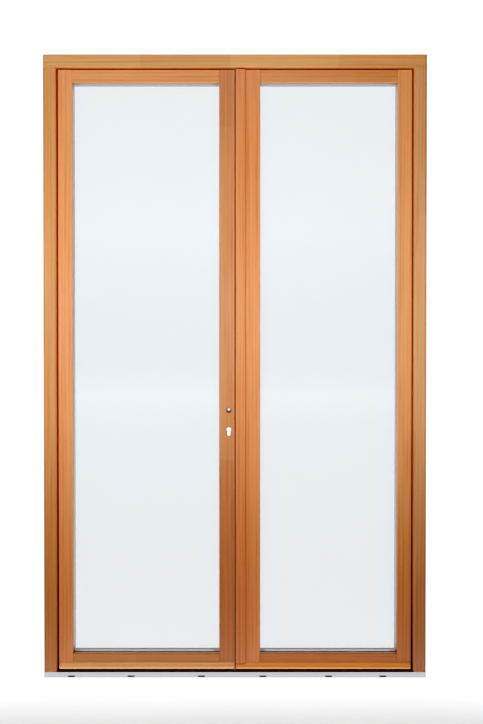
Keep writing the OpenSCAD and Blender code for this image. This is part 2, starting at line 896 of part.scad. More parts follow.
module meeting_seal() {
    color(rubber) {
        span([-meet_x + seal_gap, seal_y0, leaf_foot], [meet_x, seal_y0 + seal_w, leaf_top]);
        span([0, seal_y0 + (seal_w - seal_stem_t) / 2, leaf_foot],
            [meet_x + seal_stem_l, seal_y0 + (seal_w + seal_stem_t) / 2, leaf_top]);
    }
}

module cover_strip() {
    x0 = meet_x;
    color(timber) along_z(bar_z1, leaf_top) difference() {
        union() {
            translate([x0 + strip_r, leaf_y0 - strip_out + strip_r]) circle(r = strip_r);
            translate([x0 + strip_w - strip_r, leaf_y0 - strip_out + strip_r]) circle(r = strip_r);
            translate([x0 + strip_r, leaf_y0 - strip_out]) square([strip_w - 2 * strip_r, strip_out]);
            translate([x0, leaf_y0 - strip_out + strip_r]) square([strip_w, strip_out - strip_r]);
        }
        translate([x0 - cut, leaf_y0]) square([strip_w + 2 * cut, strip_out]);
    }
}

module strike_plate() {
    color(steel) difference() {
        span([meet_x + plate_clear, plate_y0, dead_z - strike_h / 2],
            [meet_x + plate_t, plate_y0 + plate_w, dead_z + strike_h / 2]);
        dead_bolt_room(0, meet_x + plate_t + cut, 2 * dead_clear);
    }
}

module flush_bolt_plates() {
    color(steel) for (z = [flush_low_z, flush_high_z]) difference() {
        span([meet_x + plate_clear, plate_y0, z],
            [meet_x + plate_t, plate_y0 + plate_w, z + flush_plate_l]);
        span([0, case_mid_y - flush_slot_w / 2, z + flush_slot_inset],
            [meet_x + plate_t + cut, case_mid_y + flush_slot_w / 2, z + flush_plate_l - flush_slot_inset]);
    }
}

// A flush bolt from z0 to z1 with the foot of its thumb slide at z_thumb
module flush_bolt(z0, z1, z_thumb) {
    color(steel) {
        bar_z(flush_x, case_mid_y, z0, z1, bolt_r);
        span([meet_x + 2 * bolt_clear, case_mid_y - thumb_w / 2, z_thumb],
            [flush_x, case_mid_y + thumb_w / 2, z_thumb + thumb_h]);
    }
}

module top_flush_bolt() {
    flush_bolt(core_top - flush_l + bolt_travel, core_top - tip_set, flush_high_z + thumb_inset);
}

module bottom_flush_bolt() {
    flush_bolt(core_foot + foot_set, core_foot + flush_l - bolt_travel,
        flush_low_z + flush_plate_l - thumb_inset - thumb_h);
}

// ---------- Pieces of the two leaves and their hinges ----------

module left_hinge_low_pin() {
    hinge_pin_half(hinge_z[0]);
}

module left_hinge_mid_pin() {
    hinge_pin_half(hinge_z[1]);
}

module left_hinge_top_pin() {
    hinge_pin_half(hinge_z[2]);
}

module right_hinge_low_pin() {
    on_side(1) hinge_pin_half(hinge_z[0]);
}

module right_hinge_mid_pin() {
    on_side(1) hinge_pin_half(hinge_z[1]);
}

module right_hinge_top_pin() {
    on_side(1) hinge_pin_half(hinge_z[2]);
}

module lock_leaf_hinge_stile() {
    hinge_stile(lock_sight_x);
}

module lock_leaf_top_rail() {
    top_rail(lock_sight_x);
}

module lock_leaf_bottom_rail() {
    bottom_rail(lock_sight_x);
}

module lock_leaf_weather_bar() {
    weather_bar();
}

module lock_leaf_outer_pane() {
    pane(lock_sight_x, outer_pane_y);
}

module lock_leaf_inner_pane() {
    pane(lock_sight_x, inner_pane_y);
}

module lock_leaf_spacer() {
    spacer(lock_sight_x);
}

module lock_leaf_glazing_tape() {
    glazing_tape(lock_sight_x);
}

module lock_leaf_setting_blocks() {
    setting_blocks(lock_sight_x);
}

module lock_leaf_bead_top() {
    bead_level(lock_sight_x, sight_z1, true);
}

module lock_leaf_bead_bottom() {
    bead_level(lock_sight_x, sight_z0, false);
}

module lock_leaf_bead_hinge_side() {
    bead_upright(sight_x0, true);
}

module lock_leaf_bead_lock_side() {
    bead_upright(lock_sight_x, false);
}

module left_hinge_low_cup() {
    hinge_cup_half(hinge_z[0]);
}

module left_hinge_mid_cup() {
    hinge_cup_half(hinge_z[1]);
}

module left_hinge_top_cup() {
    hinge_cup_half(hinge_z[2]);
}

module cover_leaf_hinge_stile() {
    on_side(1) hinge_stile(cover_sight_x);
}

module cover_leaf_top_rail() {
    on_side(1) top_rail(cover_sight_x);
}

module cover_leaf_bottom_rail() {
    on_side(1) bottom_rail(cover_sight_x);
}

module cover_leaf_weather_bar() {
    on_side(1) weather_bar();
}

module cover_leaf_outer_pane() {
    on_side(1) pane(cover_sight_x, outer_pane_y);
}

module cover_leaf_inner_pane() {
    on_side(1) pane(cover_sight_x, inner_pane_y);
}

module cover_leaf_spacer() {
    on_side(1) spacer(cover_sight_x);
}

module cover_leaf_glazing_tape() {
    on_side(1) glazing_tape(cover_sight_x);
}

module cover_leaf_setting_blocks() {
    on_side(1) setting_blocks(cover_sight_x);
}

module cover_leaf_bead_top() {
    on_side(1) bead_level(cover_sight_x, sight_z1, true);
}

module cover_leaf_bead_bottom() {
    on_side(1) bead_level(cover_sight_x, sight_z0, false);
}

module cover_leaf_bead_hinge_side() {
    on_side(1) bead_upright(sight_x0, true);
}

module cover_leaf_bead_cover_side() {
    on_side(1) bead_upright(cover_sight_x, false);
}

module right_hinge_low_cup() {
    on_side(1) hinge_cup_half(hinge_z[0]);
}

module right_hinge_mid_cup() {
    on_side(1) hinge_cup_half(hinge_z[1]);
}

module right_hinge_top_cup() {
    on_side(1) hinge_cup_half(hinge_z[2]);
}

// ---------- The nodes ----------

head();
left_jamb();
right_jamb();
threshold();
frame_gasket();
threshold_seal();
head_keeper();
left_hinge_low_pin();
left_hinge_mid_pin();
left_hinge_top_pin();
right_hinge_low_pin();
right_hinge_mid_pin();
right_hinge_top_pin();
lock_leaf_hinge_stile();
lock_leaf_lock_stile();
lock_leaf_top_rail();
lock_leaf_bottom_rail();
lock_leaf_weather_bar();
lock_leaf_outer_pane();
lock_leaf_inner_pane();
lock_leaf_spacer();
lock_leaf_glazing_tape();
lock_leaf_setting_blocks();
lock_leaf_bead_top();
lock_leaf_bead_bottom();
lock_leaf_bead_hinge_side();
lock_leaf_bead_lock_side();
left_hinge_low_cup();
left_hinge_mid_cup();
left_hinge_top_cup();
lock_faceplate();
lock_case();
lock_follower();
dead_bolt();
upper_rod();
lower_rod();
cover_leaf_hinge_stile();
cover_leaf_cover_stile();
cover_leaf_top_rail();
cover_leaf_bottom_rail();
cover_leaf_weather_bar();
cover_leaf_outer_pane();
cover_leaf_inner_pane();
cover_leaf_spacer();
cover_leaf_glazing_tape();
cover_leaf_setting_blocks();
cover_leaf_bead_top();
cover_leaf_bead_bottom();
cover_leaf_bead_hinge_side();
cover_leaf_bead_cover_side();
right_hinge_low_cup();
right_hinge_mid_cup();
right_hinge_top_cup();
cover_strip();
meeting_seal();
strike_plate();
flush_bolt_plates();
top_flush_bolt();
bottom_flush_bolt();
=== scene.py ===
"""Looks of a pair of glazed timber french doors in their frame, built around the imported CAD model.

X runs across the opening, Y from outdoors (negative) to indoors, Z up, all in metres.
"""

import logging
import math
from dataclasses import dataclass, field
from enum import Enum
from typing import Iterable, Sequence

import bmesh
import bpy
import numpy as np
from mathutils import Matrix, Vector
from numpy.typing import NDArray


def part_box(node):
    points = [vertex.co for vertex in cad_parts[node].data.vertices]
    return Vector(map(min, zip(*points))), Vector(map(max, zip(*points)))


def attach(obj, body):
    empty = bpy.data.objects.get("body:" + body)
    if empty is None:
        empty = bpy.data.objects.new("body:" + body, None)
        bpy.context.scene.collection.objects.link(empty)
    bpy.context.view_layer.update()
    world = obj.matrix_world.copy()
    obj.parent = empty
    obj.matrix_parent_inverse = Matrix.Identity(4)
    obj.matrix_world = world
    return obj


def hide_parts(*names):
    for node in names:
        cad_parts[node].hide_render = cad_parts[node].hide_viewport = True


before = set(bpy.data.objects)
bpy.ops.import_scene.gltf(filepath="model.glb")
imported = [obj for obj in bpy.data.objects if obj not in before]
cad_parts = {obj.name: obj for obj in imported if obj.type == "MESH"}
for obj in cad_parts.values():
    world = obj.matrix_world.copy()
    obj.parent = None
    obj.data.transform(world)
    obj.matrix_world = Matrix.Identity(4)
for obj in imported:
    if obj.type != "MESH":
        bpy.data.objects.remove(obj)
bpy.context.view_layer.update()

Array = NDArray[np.float64]
Colour = tuple[float, float, float]
Place = tuple[float, float, float]
Joints = tuple[tuple[float, float], ...]
Socket = bpy.types.NodeSocket
LOG = logging.getLogger("french_doors")
MM = 0.001


class Axis(Enum):
    """A direction of the row frame, as the index of its coordinate."""

    X = 0
    Y = 1
    Z = 2

    @property
    def others(self) -> tuple[int, int]:
        """The other two coordinates, in the order that keeps the frame right-handed."""
        return (self.value + 1) % 3, (self.value + 2) % 3


class Hand(Enum):
    """The leaf's side seen from outdoors, as the sign of its X."""

    LEFT = -1
    RIGHT = 1


# ---------- Shapes ----------

# The smallest radius of a rounded corner, and the smallest number to divide by.
SHARPEST = 0.02 * MM
TINY = 1e-12


@dataclass
class Shape:
    """A closed mesh: its points and its faces."""

    points: Array
    faces: list[tuple[int, ...]]

    def __add__(self, other: "Shape") -> "Shape":
        """Both shapes in one mesh."""
        shift = len(self.points)
        moved = [tuple(i + shift for i in f) for f in other.faces]
        return Shape(np.vstack([self.points, other.points]), self.faces + moved)


def together(shapes: Iterable[Shape]) -> Shape:
    """Several shapes as one mesh."""
    found = list(shapes)
    total = found[0]
    for shape in found[1:]:
        total = total + shape
    return total


def rounded(corners: Sequence[Sequence[float]], radii: Sequence[float] | float, steps: int = 4) -> Array:
    """Rounds the corners of a closed outline, all at once.

    An arc of radius r touches both edges at r * tan(half the turn) from the corner. Its centre lies
    on the corner's bisector, and its points are the first touching point turned about that centre.

    Args:
        corners: the outline's corners, anticlockwise.
        radii: one radius for each corner, or one for all.
        steps: straight pieces in each arc.

    Returns:
        The outline's points, steps + 1 for each corner.
    """
    p = np.asarray(corners, float)
    r = np.maximum(np.broadcast_to(np.asarray(radii, float), len(p)), SHARPEST)
    back = np.roll(p, 1, 0) - p
    ahead = np.roll(p, -1, 0) - p
    back /= np.linalg.norm(back, axis=1, keepdims=True)
    ahead /= np.linalg.norm(ahead, axis=1, keepdims=True)
    turn = np.arctan2(back[:, 1] * ahead[:, 0] - back[:, 0] * ahead[:, 1], -(back * ahead).sum(1))
    touch = p + back * (r * np.abs(np.tan(turn / 2)))[:, None]
    middle = (back + ahead) / np.maximum(np.linalg.norm(back + ahead, axis=1, keepdims=True), TINY)
    centre = p + middle * (r / np.cos(turn / 2))[:, None]
    angle = turn[:, None] * np.linspace(0, 1, steps + 1)[None, :]
    arm = (touch - centre)[:, None, :]
    c, s = np.cos(angle), np.sin(angle)
    arcs = np.stack([arm[..., 0] * c - arm[..., 1] * s, arm[..., 0] * s + arm[..., 1] * c], -1)
    return (centre[:, None, :] + arcs).reshape(-1, 2)


def box_outline(low: Sequence[float], high: Sequence[float], radius: float, steps: int = 3) -> Array:
    """A rounded rectangle between two corners, anticlockwise."""
    (a, b), (c, d) = low, high
    return rounded([[a, b], [c, b], [c, d], [a, d]], radius, steps)


def skin(rings: Array, round_path: bool = False) -> Shape:
    """Joins rings of points into a closed surface.

    Point j of ring i is joined to points j and j + 1 of ring i + 1. A path that comes round joins
    its last ring to its first, and any other gets a face over each end.

    Args:
        rings: an array of ring, point and coordinate.
        round_path: whether the path comes round to its start.

    Returns:
        The shape.
    """
    count, size = rings.shape[:2]
    last = count if round_path else count - 1
    i, j = np.meshgrid(np.arange(last), np.arange(size), indexing="ij")
    i2, j2 = (i + 1) % count, (j + 1) % size
    quads = np.stack([i * size + j, i * size + j2, i2 * size + j2, i2 * size + j], -1)
    faces = [tuple(q) for q in quads.reshape(-1, 4).tolist()]
    if not round_path:
        faces.append(tuple(range(size - 1, -1, -1)))
        faces.append(tuple(range((count - 1) * size, count * size)))
    return Shape(rings.reshape(-1, 3), faces)


def carried(outline: Array, axis: Axis, stations: Sequence[float], scales: Sequence[float] | None = None,
            heart: Sequence[float] | None = None) -> Shape:
    """Carries an outline along an axis, drawn in the axis's other two coordinates.

    At a station at t with scale s, each point p of the outline lies at heart + s * (p - heart).

    Args:
        outline: the closed outline.
        axis: the direction that it is carried in.
        stations: places along the axis.
        scales: the outline's scale at each station, or None for 1 everywhere.
        heart: the point that the outline shrinks towards, or None for its middle.

    Returns:
        The shape.
    """
    t = np.asarray(stations, float)
    s = np.ones(len(t)) if scales is None else np.asarray(scales, float)
    h = outline.mean(0) if heart is None else np.asarray(heart, float)
    flat = h + s[:, None, None] * (outline[None] - h)
    rings = np.zeros((len(t), len(outline), 3))
    u, v = axis.others
    rings[..., axis.value] = t[:, None]
    rings[..., u], rings[..., v] = flat[..., 0], flat[..., 1]
    return skin(rings)


def eased(outline: Array, axis: Axis, low: float, high: float, ease: float,
          heart: Sequence[float] | None = None, steps: int = 3) -> Shape:
    """Carries an outline from low to high with softened ends.

    Within ease of an end, the outline shrinks by ease * (1 - sin a) of its half size, and the place
    along the axis is ease * (1 - cos a) from the end, with a from 0 to a quarter turn.

    Args:
        outline: the closed outline.
        axis: the direction that it is carried in.
        low: the lowest place.
        high: the highest place.
        ease: the radius of the softened ends.
        heart: the point that the ends shrink towards.
        steps: pieces in each softened end.

    Returns:
        The shape.
    """
    a = np.linspace(0, math.pi / 2, steps + 1)
    half = np.ptp(outline, axis=0).min() / 2
    inward = ease * (1 - np.cos(a))
    scale = 1 - (ease / half) * (1 - np.sin(a))
    stations = np.concatenate([low + inward, (high - inward)[::-1]])
    return carried(outline, axis, stations, np.concatenate([scale, scale[::-1]]), heart)


def hoop(outline: Array, low: Sequence[float], high: Sequence[float]) -> Shape:
    """Carries an outline round a rectangle in X and Z, with mitred corners.

    A point (u, y) of the outline lies u outside the rectangle in both X and Z at each corner, so the
    four runs meet on the corners' bisectors.

    Args:
        outline: the closed outline, as the distance outside the rectangle and Y.
        low: lowest X and Z of the rectangle.
        high: highest X and Z of the rectangle.

    Returns:
        The shape.
    """
    corner = np.array([[low[0], low[1]], [low[0], high[1]], [high[0], high[1]], [high[0], low[1]]])
    sign = np.array([[-1, -1], [-1, 1], [1, 1], [1, -1]])
    rings = np.zeros((4, len(outline), 3))
    rings[..., 0] = corner[:, None, 0] + sign[:, None, 0] * outline[None, :, 0]
    rings[..., 2] = corner[:, None, 1] + sign[:, None, 1] * outline[None, :, 0]
    rings[..., 1] = outline[None, :, 1]
    return skin(rings, round_path=True)


def arch(outline: Array, half_width: float, foot: float, top: float) -> Shape:
    """Carries an outline up one side, along the top and down the other side, with mitred corners.

    A point (u, y) lies at X = plus or minus (half_width + u), and at Z = top + u along the top.

    Args:
        outline: the closed outline, as the distance outside the opening and Y.
        half_width: half of the opening's width.
        foot: Z of both ends.
        top: Z of the opening's top.

    Returns:
        The shape.
    """
    u, y = outline[:, 0], outline[:, 1]
    rings = np.zeros((4, len(outline), 3))
    rings[..., 1] = y
    rings[0:2, :, 0] = -(half_width + u)
    rings[2:4, :, 0] = half_width + u
    rings[[0, 3], :, 2] = foot
    rings[1:3, :, 2] = top + u
    return skin(rings)


def turned(profile: Sequence[Sequence[float]], centre: Sequence[float], axis: Axis, sides: int = 40) -> Shape:
    """A turned piece: its profile goes round an axis, from one point on the axis to another.

    The point at radius r and height h stands at angle a at (r * cos a, r * sin a, h) about the axis.

    Args:
        profile: radius and height, whose first and last radius are 0.
        centre: where height 0 is.
        axis: the direction of the axis.
        sides: pieces of one turn.

    Returns:
        The shape, with a single point at each pole.
    """
    p = np.asarray(profile, float)
    a = np.linspace(0, 2 * math.pi, sides, endpoint=False)
    u, v = axis.others
    inner = p[1:-1]
    rings = np.zeros((len(inner), sides, 3))
    rings[..., u] = inner[:, None, 0] * np.cos(a)
    rings[..., v] = inner[:, None, 0] * np.sin(a)
    rings[..., axis.value] = inner[:, None, 1]
    body = skin(rings)
    body.faces = body.faces[:-2]
    poles = np.zeros((2, 3))
    poles[:, axis.value] = p[[0, -1], 1]
    first, last = len(body.points), len(body.points) + 1
    top = (len(inner) - 1) * sides
    around = [(k, (k + 1) % sides) for k in range(sides)]
    caps = [(first, b, c) for c, b in around] + [(last, top + b, top + c) for b, c in around]
    return Shape(np.vstack([body.points, poles]) + np.asarray(centre, float), body.faces + caps)


def screw_head(centre: Sequence[float], axis: Axis, facing: int, radius: float) -> Shape:
    """A flat screw head with a cross recess.

    Over the head, the height is a shallow dome h * (1 - (r / R)^2) less the recess: its depth times
    a soft step that is 1 inside either arm of the cross and 0 outside. All are shares of R.

    Args:
        centre: the middle of the head's rim.
        axis: the direction that the head faces along.
        facing: 1 or -1, the sense along the axis.
        radius: the head's radius R.

    Returns:
        The shape.
    """
    sides, rows = 32, 9
    middle, dome, recess, skirt, shank = 0.12, 0.12, 0.32, 0.4, 0.8
    arm_half, arm_length, side_slope, end_slope = 0.17, 0.62, 0.05, 0.08
    r = radius * np.linspace(middle, 1, rows)
    a = np.linspace(0, 2 * math.pi, sides, endpoint=False)
    x, y = r[:, None] * np.cos(a), r[:, None] * np.sin(a)
    near, far = np.minimum(abs(x), abs(y)), np.maximum(abs(x), abs(y))
    arm = np.clip((arm_half * radius - near) / (side_slope * radius), 0, 1)
    arm *= np.clip((arm_length * radius - far) / (end_slope * radius), 0, 1)
    height = dome * radius * (1 - (r[:, None] / radius) ** 2) - recess * radius * arm
    u, v = axis.others
    rings = np.zeros((rows + 1, sides, 3))
    rings[:rows, :, u], rings[:rows, :, v] = x, y
    rings[:rows, :, axis.value] = facing * height
    rings[rows, :, u], rings[rows, :, v] = x[-1] * shank, y[-1] * shank
    rings[rows, :, axis.value] = -facing * skirt * radius
    shape = skin(rings)
    return Shape(shape.points + np.asarray(centre, float), shape.faces)


# ---------- Finishes ----------


def shown(red: float, green: float, blue: float) -> Colour:
    """A colour given in display values from 0 to 255, as the linear values that a shader takes."""
    c = np.array([red, green, blue], float) / 255
    lin = np.where(c <= 0.04045, c / 12.92, ((c + 0.055) / 1.055) ** 2.4)
    return (float(lin[0]), float(lin[1]), float(lin[2]))


class Recipe:
    """A material's node tree, with short calls for the nodes that the finishes use."""

    def __init__(self, name: str) -> None:
        """Starts a material that holds its main shader alone.

        Args:
            name: the material's name.
        """
        self.material = bpy.data.materials.new(name)
        self.material.use_nodes = True
        self.tree = self.material.node_tree
        self.shader = next(n for n in self.tree.nodes if n.type == "BSDF_PRINCIPLED")
        self.place = self.add("ShaderNodeTexCoord").outputs["Object"]

    def add(self, kind: str, **settings: object) -> bpy.types.Node:
        """Adds a node and sets its properties.

        Args:
            kind: the node's type name.
            settings: properties by name.

        Returns:
            The node.
        """
        node = self.tree.nodes.new(kind)
        for key, value in settings.items():
            setattr(node, key, value)
        return node

    def feed(self, source: Socket, target: Socket) -> None:
        """Links an output to an input."""
        self.tree.links.new(source, target)

    def fixed(self, **values: object) -> None:
        """Sets constants on the main shader, with underscores for the spaces in the sockets' names."""
        for key, value in values.items():
            self.shader.inputs[key.replace("_", " ")].default_value = value

    def moved(self, scale: Sequence[float], offset: Sequence[float] = (0, 0, 0)) -> Socket:
        """Object coordinates, scaled and shifted."""
        node = self.add("ShaderNodeMapping")
        node.inputs["Location"].default_value = tuple(offset)
        node.inputs["Scale"].default_value = tuple(scale)
        self.feed(self.place, node.inputs["Vector"])
        return node.outputs["Vector"]

    def noise(self, place: Socket, scale: float, detail: float, rough: float,
              warp: float = 0.0) -> Socket:
        """A noise pattern's value from 0 to 1."""
        node = self.add("ShaderNodeTexNoise")
        node.inputs["Scale"].default_value = scale
        node.inputs["Detail"].default_value = detail
        node.inputs["Roughness"].default_value = rough
        node.inputs["Distortion"].default_value = warp
        self.feed(place, node.inputs["Vector"])
        return node.outputs["Fac"]

    def sum(self, operation: str, a: Socket, b: Socket | float) -> Socket:
        """One step of arithmetic on a value."""
        node = self.add("ShaderNodeMath", operation=operation)
        self.feed(a, node.inputs[0])
        if isinstance(b, (int, float)):
            node.inputs[1].default_value = b
        else:
            self.feed(b, node.inputs[1])
        return node.outputs[0]

    def spread(self, value: Socket, low: float, high: float, to_low: float, to_high: float) -> Socket:
        """A value carried from one range to another."""
        node = self.add("ShaderNodeMapRange")
        for name, number in (("From Min", low), ("From Max", high), ("To Min", to_low), ("To Max", to_high)):
            node.inputs[name].default_value = number
        self.feed(value, node.inputs["Value"])
        return node.outputs["Result"]

    def ramp(self, value: Socket, stops: Sequence[tuple[float, Colour]], stepped: bool = False) -> Socket:
        """A colour looked up by a value.

        Args:
            value: the value from 0 to 1.
            stops: places and colours, in rising order.
            stepped: whether a colour holds until the next stop.

        Returns:
            The colour.
        """
        node = self.add("ShaderNodeValToRGB")
        marks = node.color_ramp
        marks.interpolation = "CONSTANT" if stepped else "LINEAR"
        while len(marks.elements) < len(stops):
            marks.elements.new(1.0)
        for mark, (where, colour) in zip(marks.elements, stops):
            mark.position = where
            mark.color = (*colour, 1)
        self.feed(value, node.inputs["Fac"])
        return node.outputs["Color"]

    def blend(self, how: str, share: Socket | float, a: Socket | Colour, b: Socket | Colour) -> Socket:
        """Two colours blended."""
        node = self.add("ShaderNodeMix", data_type="RGBA", blend_type=how)
        for socket, value in ((node.inputs[0], share), (node.inputs[6], a), (node.inputs[7], b)):
            if isinstance(value, (int, float)):
                socket.default_value = value
            elif isinstance(value, tuple):
                socket.default_value = (*value, 1)
            else:
                self.feed(value, socket)
        return node.outputs[2]

    def bump(self, height: Socket, strength: float, depth: float) -> None:
        """Makes the surface rise and fall with a value."""
        node = self.add("ShaderNodeBump")
        node.inputs["Strength"].default_value = strength
        node.inputs["Distance"].default_value = depth
        self.feed(height, node.inputs["Height"])
        self.feed(node.outputs["Normal"], self.shader.inputs["Normal"])


@dataclass(frozen=True)
class Timber:
    """Straight-grained, stained and varnished softwood.

    The boards are finger-jointed: joints holds each joint's height along the grain and the tone of
    the board that starts there. Towards the foot the colour darkens to the tone foot: painted shade
    for the weaker light low down, rising to full colour at the height where it ends.
    """

    name: str
    colour: Colour
    grain: Axis = Axis.Z
    low: float = 0.0
    high: float = 2.2
    joints: Joints = ((0.0, 1.0),)
    offset: Place = (0.0, 0.0, 0.0)
    ring_scale: float = 24.0
    contrast: float = 1.0
    # Painted shade: the colour's tone at the foot, and the height up to which it darkens.
    foot: float = 1.0
    foot_shade_height: float = 0.9

    def make(self) -> bpy.types.Material:
        """Builds the material.

        The grain is noise drawn out along the board, over wavy bands for the growth rings. Ends
        across the grain are darker, because they drink more stain.

        Returns:
            The material.
        """
        r = Recipe(self.name)
        along = self.grain.value

        def drawn(stretch: float) -> Socket:
            """Coordinates squeezed along the grain, so that a pattern is drawn out along it."""
            scale = [1.0, 1.0, 1.0]
            scale[along] = stretch
            return r.moved(scale, self.offset)

        streaks = r.noise(drawn(0.035), 60.0, 5.0, 0.62, 0.4)
        fine = r.noise(drawn(0.018), 520.0, 3.0, 0.6)
        pores = r.noise(drawn(0.03), 1900.0, 2.0, 0.5)
        wave = r.add("ShaderNodeTexWave", wave_type="BANDS",
                     bands_direction="X" if self.grain is Axis.Z else "Z")
        for name, value in (("Scale", self.ring_scale), ("Distortion", 5.0), ("Detail", 3.0),
                            ("Detail Scale", 1.4), ("Detail Roughness", 0.6)):
            wave.inputs[name].default_value = value
        r.feed(drawn(0.05), wave.inputs["Vector"])
        rings = r.spread(wave.outputs["Fac"], 0, 1, 0.30, 0.70)
        mixed = r.sum("ADD", r.sum("MULTIPLY", streaks, 0.5), r.sum("MULTIPLY", rings, 0.28))
        mixed = r.sum("ADD", mixed, r.sum("MULTIPLY", fine, 0.22))
        taken, given = np.array([0.26, 0.34, 0.40]), np.array([0.12, 0.18, 0.24])
        pore_tint, end_tint = (0.62, 0.52, 0.45), (0.66, 0.58, 0.52)
        base = np.array(self.colour)
        dark, light = base * (1 - self.contrast * taken), base * (1 + self.contrast * given)
        grain = r.ramp(mixed, ((0.30, tuple(dark)), (0.50, self.colour), (0.70, tuple(light))))
        split = r.add("ShaderNodeSeparateXYZ")
        r.feed(r.place, split.inputs[0])
        share = r.spread(split.outputs[along], self.low, self.high, 0, 1)
        length = self.high - self.low
        boards = r.ramp(share, [(max((z - self.low) / length, 0), (t, t * t**0.3, t * t**0.6))
                                for z, t in self.joints], stepped=True)
        toned = r.blend("MULTIPLY", 1.0, grain, boards)
        # Painted shade: the colour darkens towards the foot, standing in for the weaker light low down.
        if self.foot < 1:
            foot_shade_rise = r.spread(split.outputs[2], 0.0, self.foot_shade_height, 0, 1)
            painted_foot_shade = (self.foot, self.foot**1.3, self.foot**1.6)
            toned = r.blend("MULTIPLY", 1.0, toned, r.ramp(foot_shade_rise, ((0.0, painted_foot_shade), (1.0, (1.0, 1.0, 1.0)))))
        pitted = r.blend("MULTIPLY", r.spread(pores, 0.60, 0.74, 0, 0.5), toned, pore_tint)
        facing = r.add("ShaderNodeSeparateXYZ")
        r.feed(r.add("ShaderNodeTexCoord").outputs["Normal"], facing.inputs[0])
        ends = r.spread(r.sum("ABSOLUTE", facing.outputs[along], 0.0), 0.80, 0.95, 0, 0.75)
        r.feed(r.blend("MULTIPLY", ends, pitted, end_tint), r.shader.inputs["Base Color"])
        r.feed(r.spread(fine, 0.2, 0.8, 0.36, 0.52), r.shader.inputs["Roughness"])
        r.fixed(Coat_Weight=0.22, Coat_Roughness=0.28, Specular_IOR_Level=0.42)
        r.bump(r.sum("ADD", fine, r.sum("MULTIPLY", pores, 0.6)), 0.22, 0.00025)
        return r.material


@dataclass(frozen=True)
class Metal:
    """Drawn or brushed metal, with fine lines along one direction and faint smudges."""

    name: str
    colour: Colour
    rough: float
    lines: Axis
    line_depth: float = 0.00006
    worn: float = 0.12

    def make(self) -> bpy.types.Material:
        """Builds the material: noise drawn out along the lines, and a broad noise for the smudges."""
        r = Recipe(self.name)
        scale = [1.0, 1.0, 1.0]
        scale[self.lines.value] = 0.01
        fine = r.noise(r.moved(scale), 1400.0, 4.0, 0.65)
        broad = r.noise(r.place, 14.0, 4.0, 0.55, 0.3)
        base = np.array(self.colour)
        worn = tuple((base * (1 - self.worn)).tolist())
        toned = r.ramp(r.sum("ADD", r.sum("MULTIPLY", fine, 0.5), r.sum("MULTIPLY", broad, 0.5)),
                       ((0.38, worn), (0.60, self.colour)))
        r.feed(toned, r.shader.inputs["Base Color"])
        r.feed(r.spread(broad, 0.3, 0.7, self.rough * 0.85, self.rough * 1.2), r.shader.inputs["Roughness"])
        r.fixed(Metallic=1.0)
        r.bump(fine, 0.35, self.line_depth)
        return r.material


@dataclass(frozen=True)
class Glass:
    """A pane of clear float glass, seen as a thin tinted film."""

    name: str
    colour: Colour
    cover: float

    def make(self) -> bpy.types.Material:
        """Builds the material, with a trace of dust in the tint and in the gloss."""
        r = Recipe(self.name)
        dust = r.noise(r.place, 9.0, 5.0, 0.6, 0.4)
        cleaner = tuple(min(1.0, c * 1.04) for c in self.colour)
        r.feed(r.ramp(dust, ((0.35, self.colour), (0.65, cleaner))), r.shader.inputs["Base Color"])
        r.feed(r.spread(dust, 0.3, 0.7, 0.015, 0.04), r.shader.inputs["Roughness"])
        r.fixed(Alpha=self.cover, IOR=1.5)
        r.material.surface_render_method = "BLENDED"
        return r.material


@dataclass(frozen=True)
class Polymer:
    """Rubber, sealant or moulded plastic, with a fine moulded skin."""

    name: str
    colour: Colour
    rough: float
    skin_scale: float = 900.0
    skin_depth: float = 0.00005

    def make(self) -> bpy.types.Material:
        """Builds the material: fine noise for the skin, broad noise for the bloom."""
        r = Recipe(self.name)
        fine = r.noise(r.place, self.skin_scale, 3.0, 0.5)
        bloom = r.noise(r.place, 30.0, 4.0, 0.55)
        base = np.array(self.colour)
        r.feed(r.ramp(bloom, ((0.35, tuple(base * 0.85)), (0.65, tuple(base * 1.12)))),
               r.shader.inputs["Base Color"])
        r.feed(r.spread(fine, 0.3, 0.7, self.rough * 0.9, min(1.0, self.rough * 1.1)),
               r.shader.inputs["Roughness"])
        r.bump(fine, 0.3, self.skin_depth)
        return r.material


@dataclass(frozen=True)
class Paint:
    """The studio's pale floor and backdrop, lit from within.

    The glow is a ramp over Y, whose stops lie within the length reach on both sides of the doors.
    It is weak just outdoors of them, so that the timber's foot stays in shade.
    """

    name: str
    colour: Colour
    reach: float
    glows: tuple[tuple[float, float], ...]

    def make(self) -> bpy.types.Material:
        """Builds the material, with a faint mottling."""
        r = Recipe(self.name)
        mottle = r.noise(r.place, 3.0, 4.0, 0.5)
        base = np.array(self.colour)
        r.feed(r.ramp(mottle, ((0.3, tuple(base * 0.99)), (0.7, tuple(base)))), r.shader.inputs["Base Color"])
        split = r.add("ShaderNodeSeparateXYZ")
        r.feed(r.place, split.inputs[0])
        most = max(glow for _, glow in self.glows)
        share = r.spread(split.outputs[1], -self.reach, self.reach, 0, 1)
        stops = [((y / self.reach + 1) / 2, (glow / most,) * 3) for y, glow in self.glows]
        r.feed(r.sum("MULTIPLY", r.ramp(share, stops), most), r.shader.inputs["Emission Strength"])
        r.fixed(Roughness=0.9, Specular_IOR_Level=0.1, Emission_Color=(1, 1, 1, 1))
        return r.material


Finish = Timber | Metal | Glass | Polymer | Paint

# Points closer than WELD are one. The angles are in degrees.
WELD = 0.002 * MM
FLAT = 1.0
CORNER = 25.0
MEMBER_SHARP = 50.0
PIECE_SHARP = 40.0


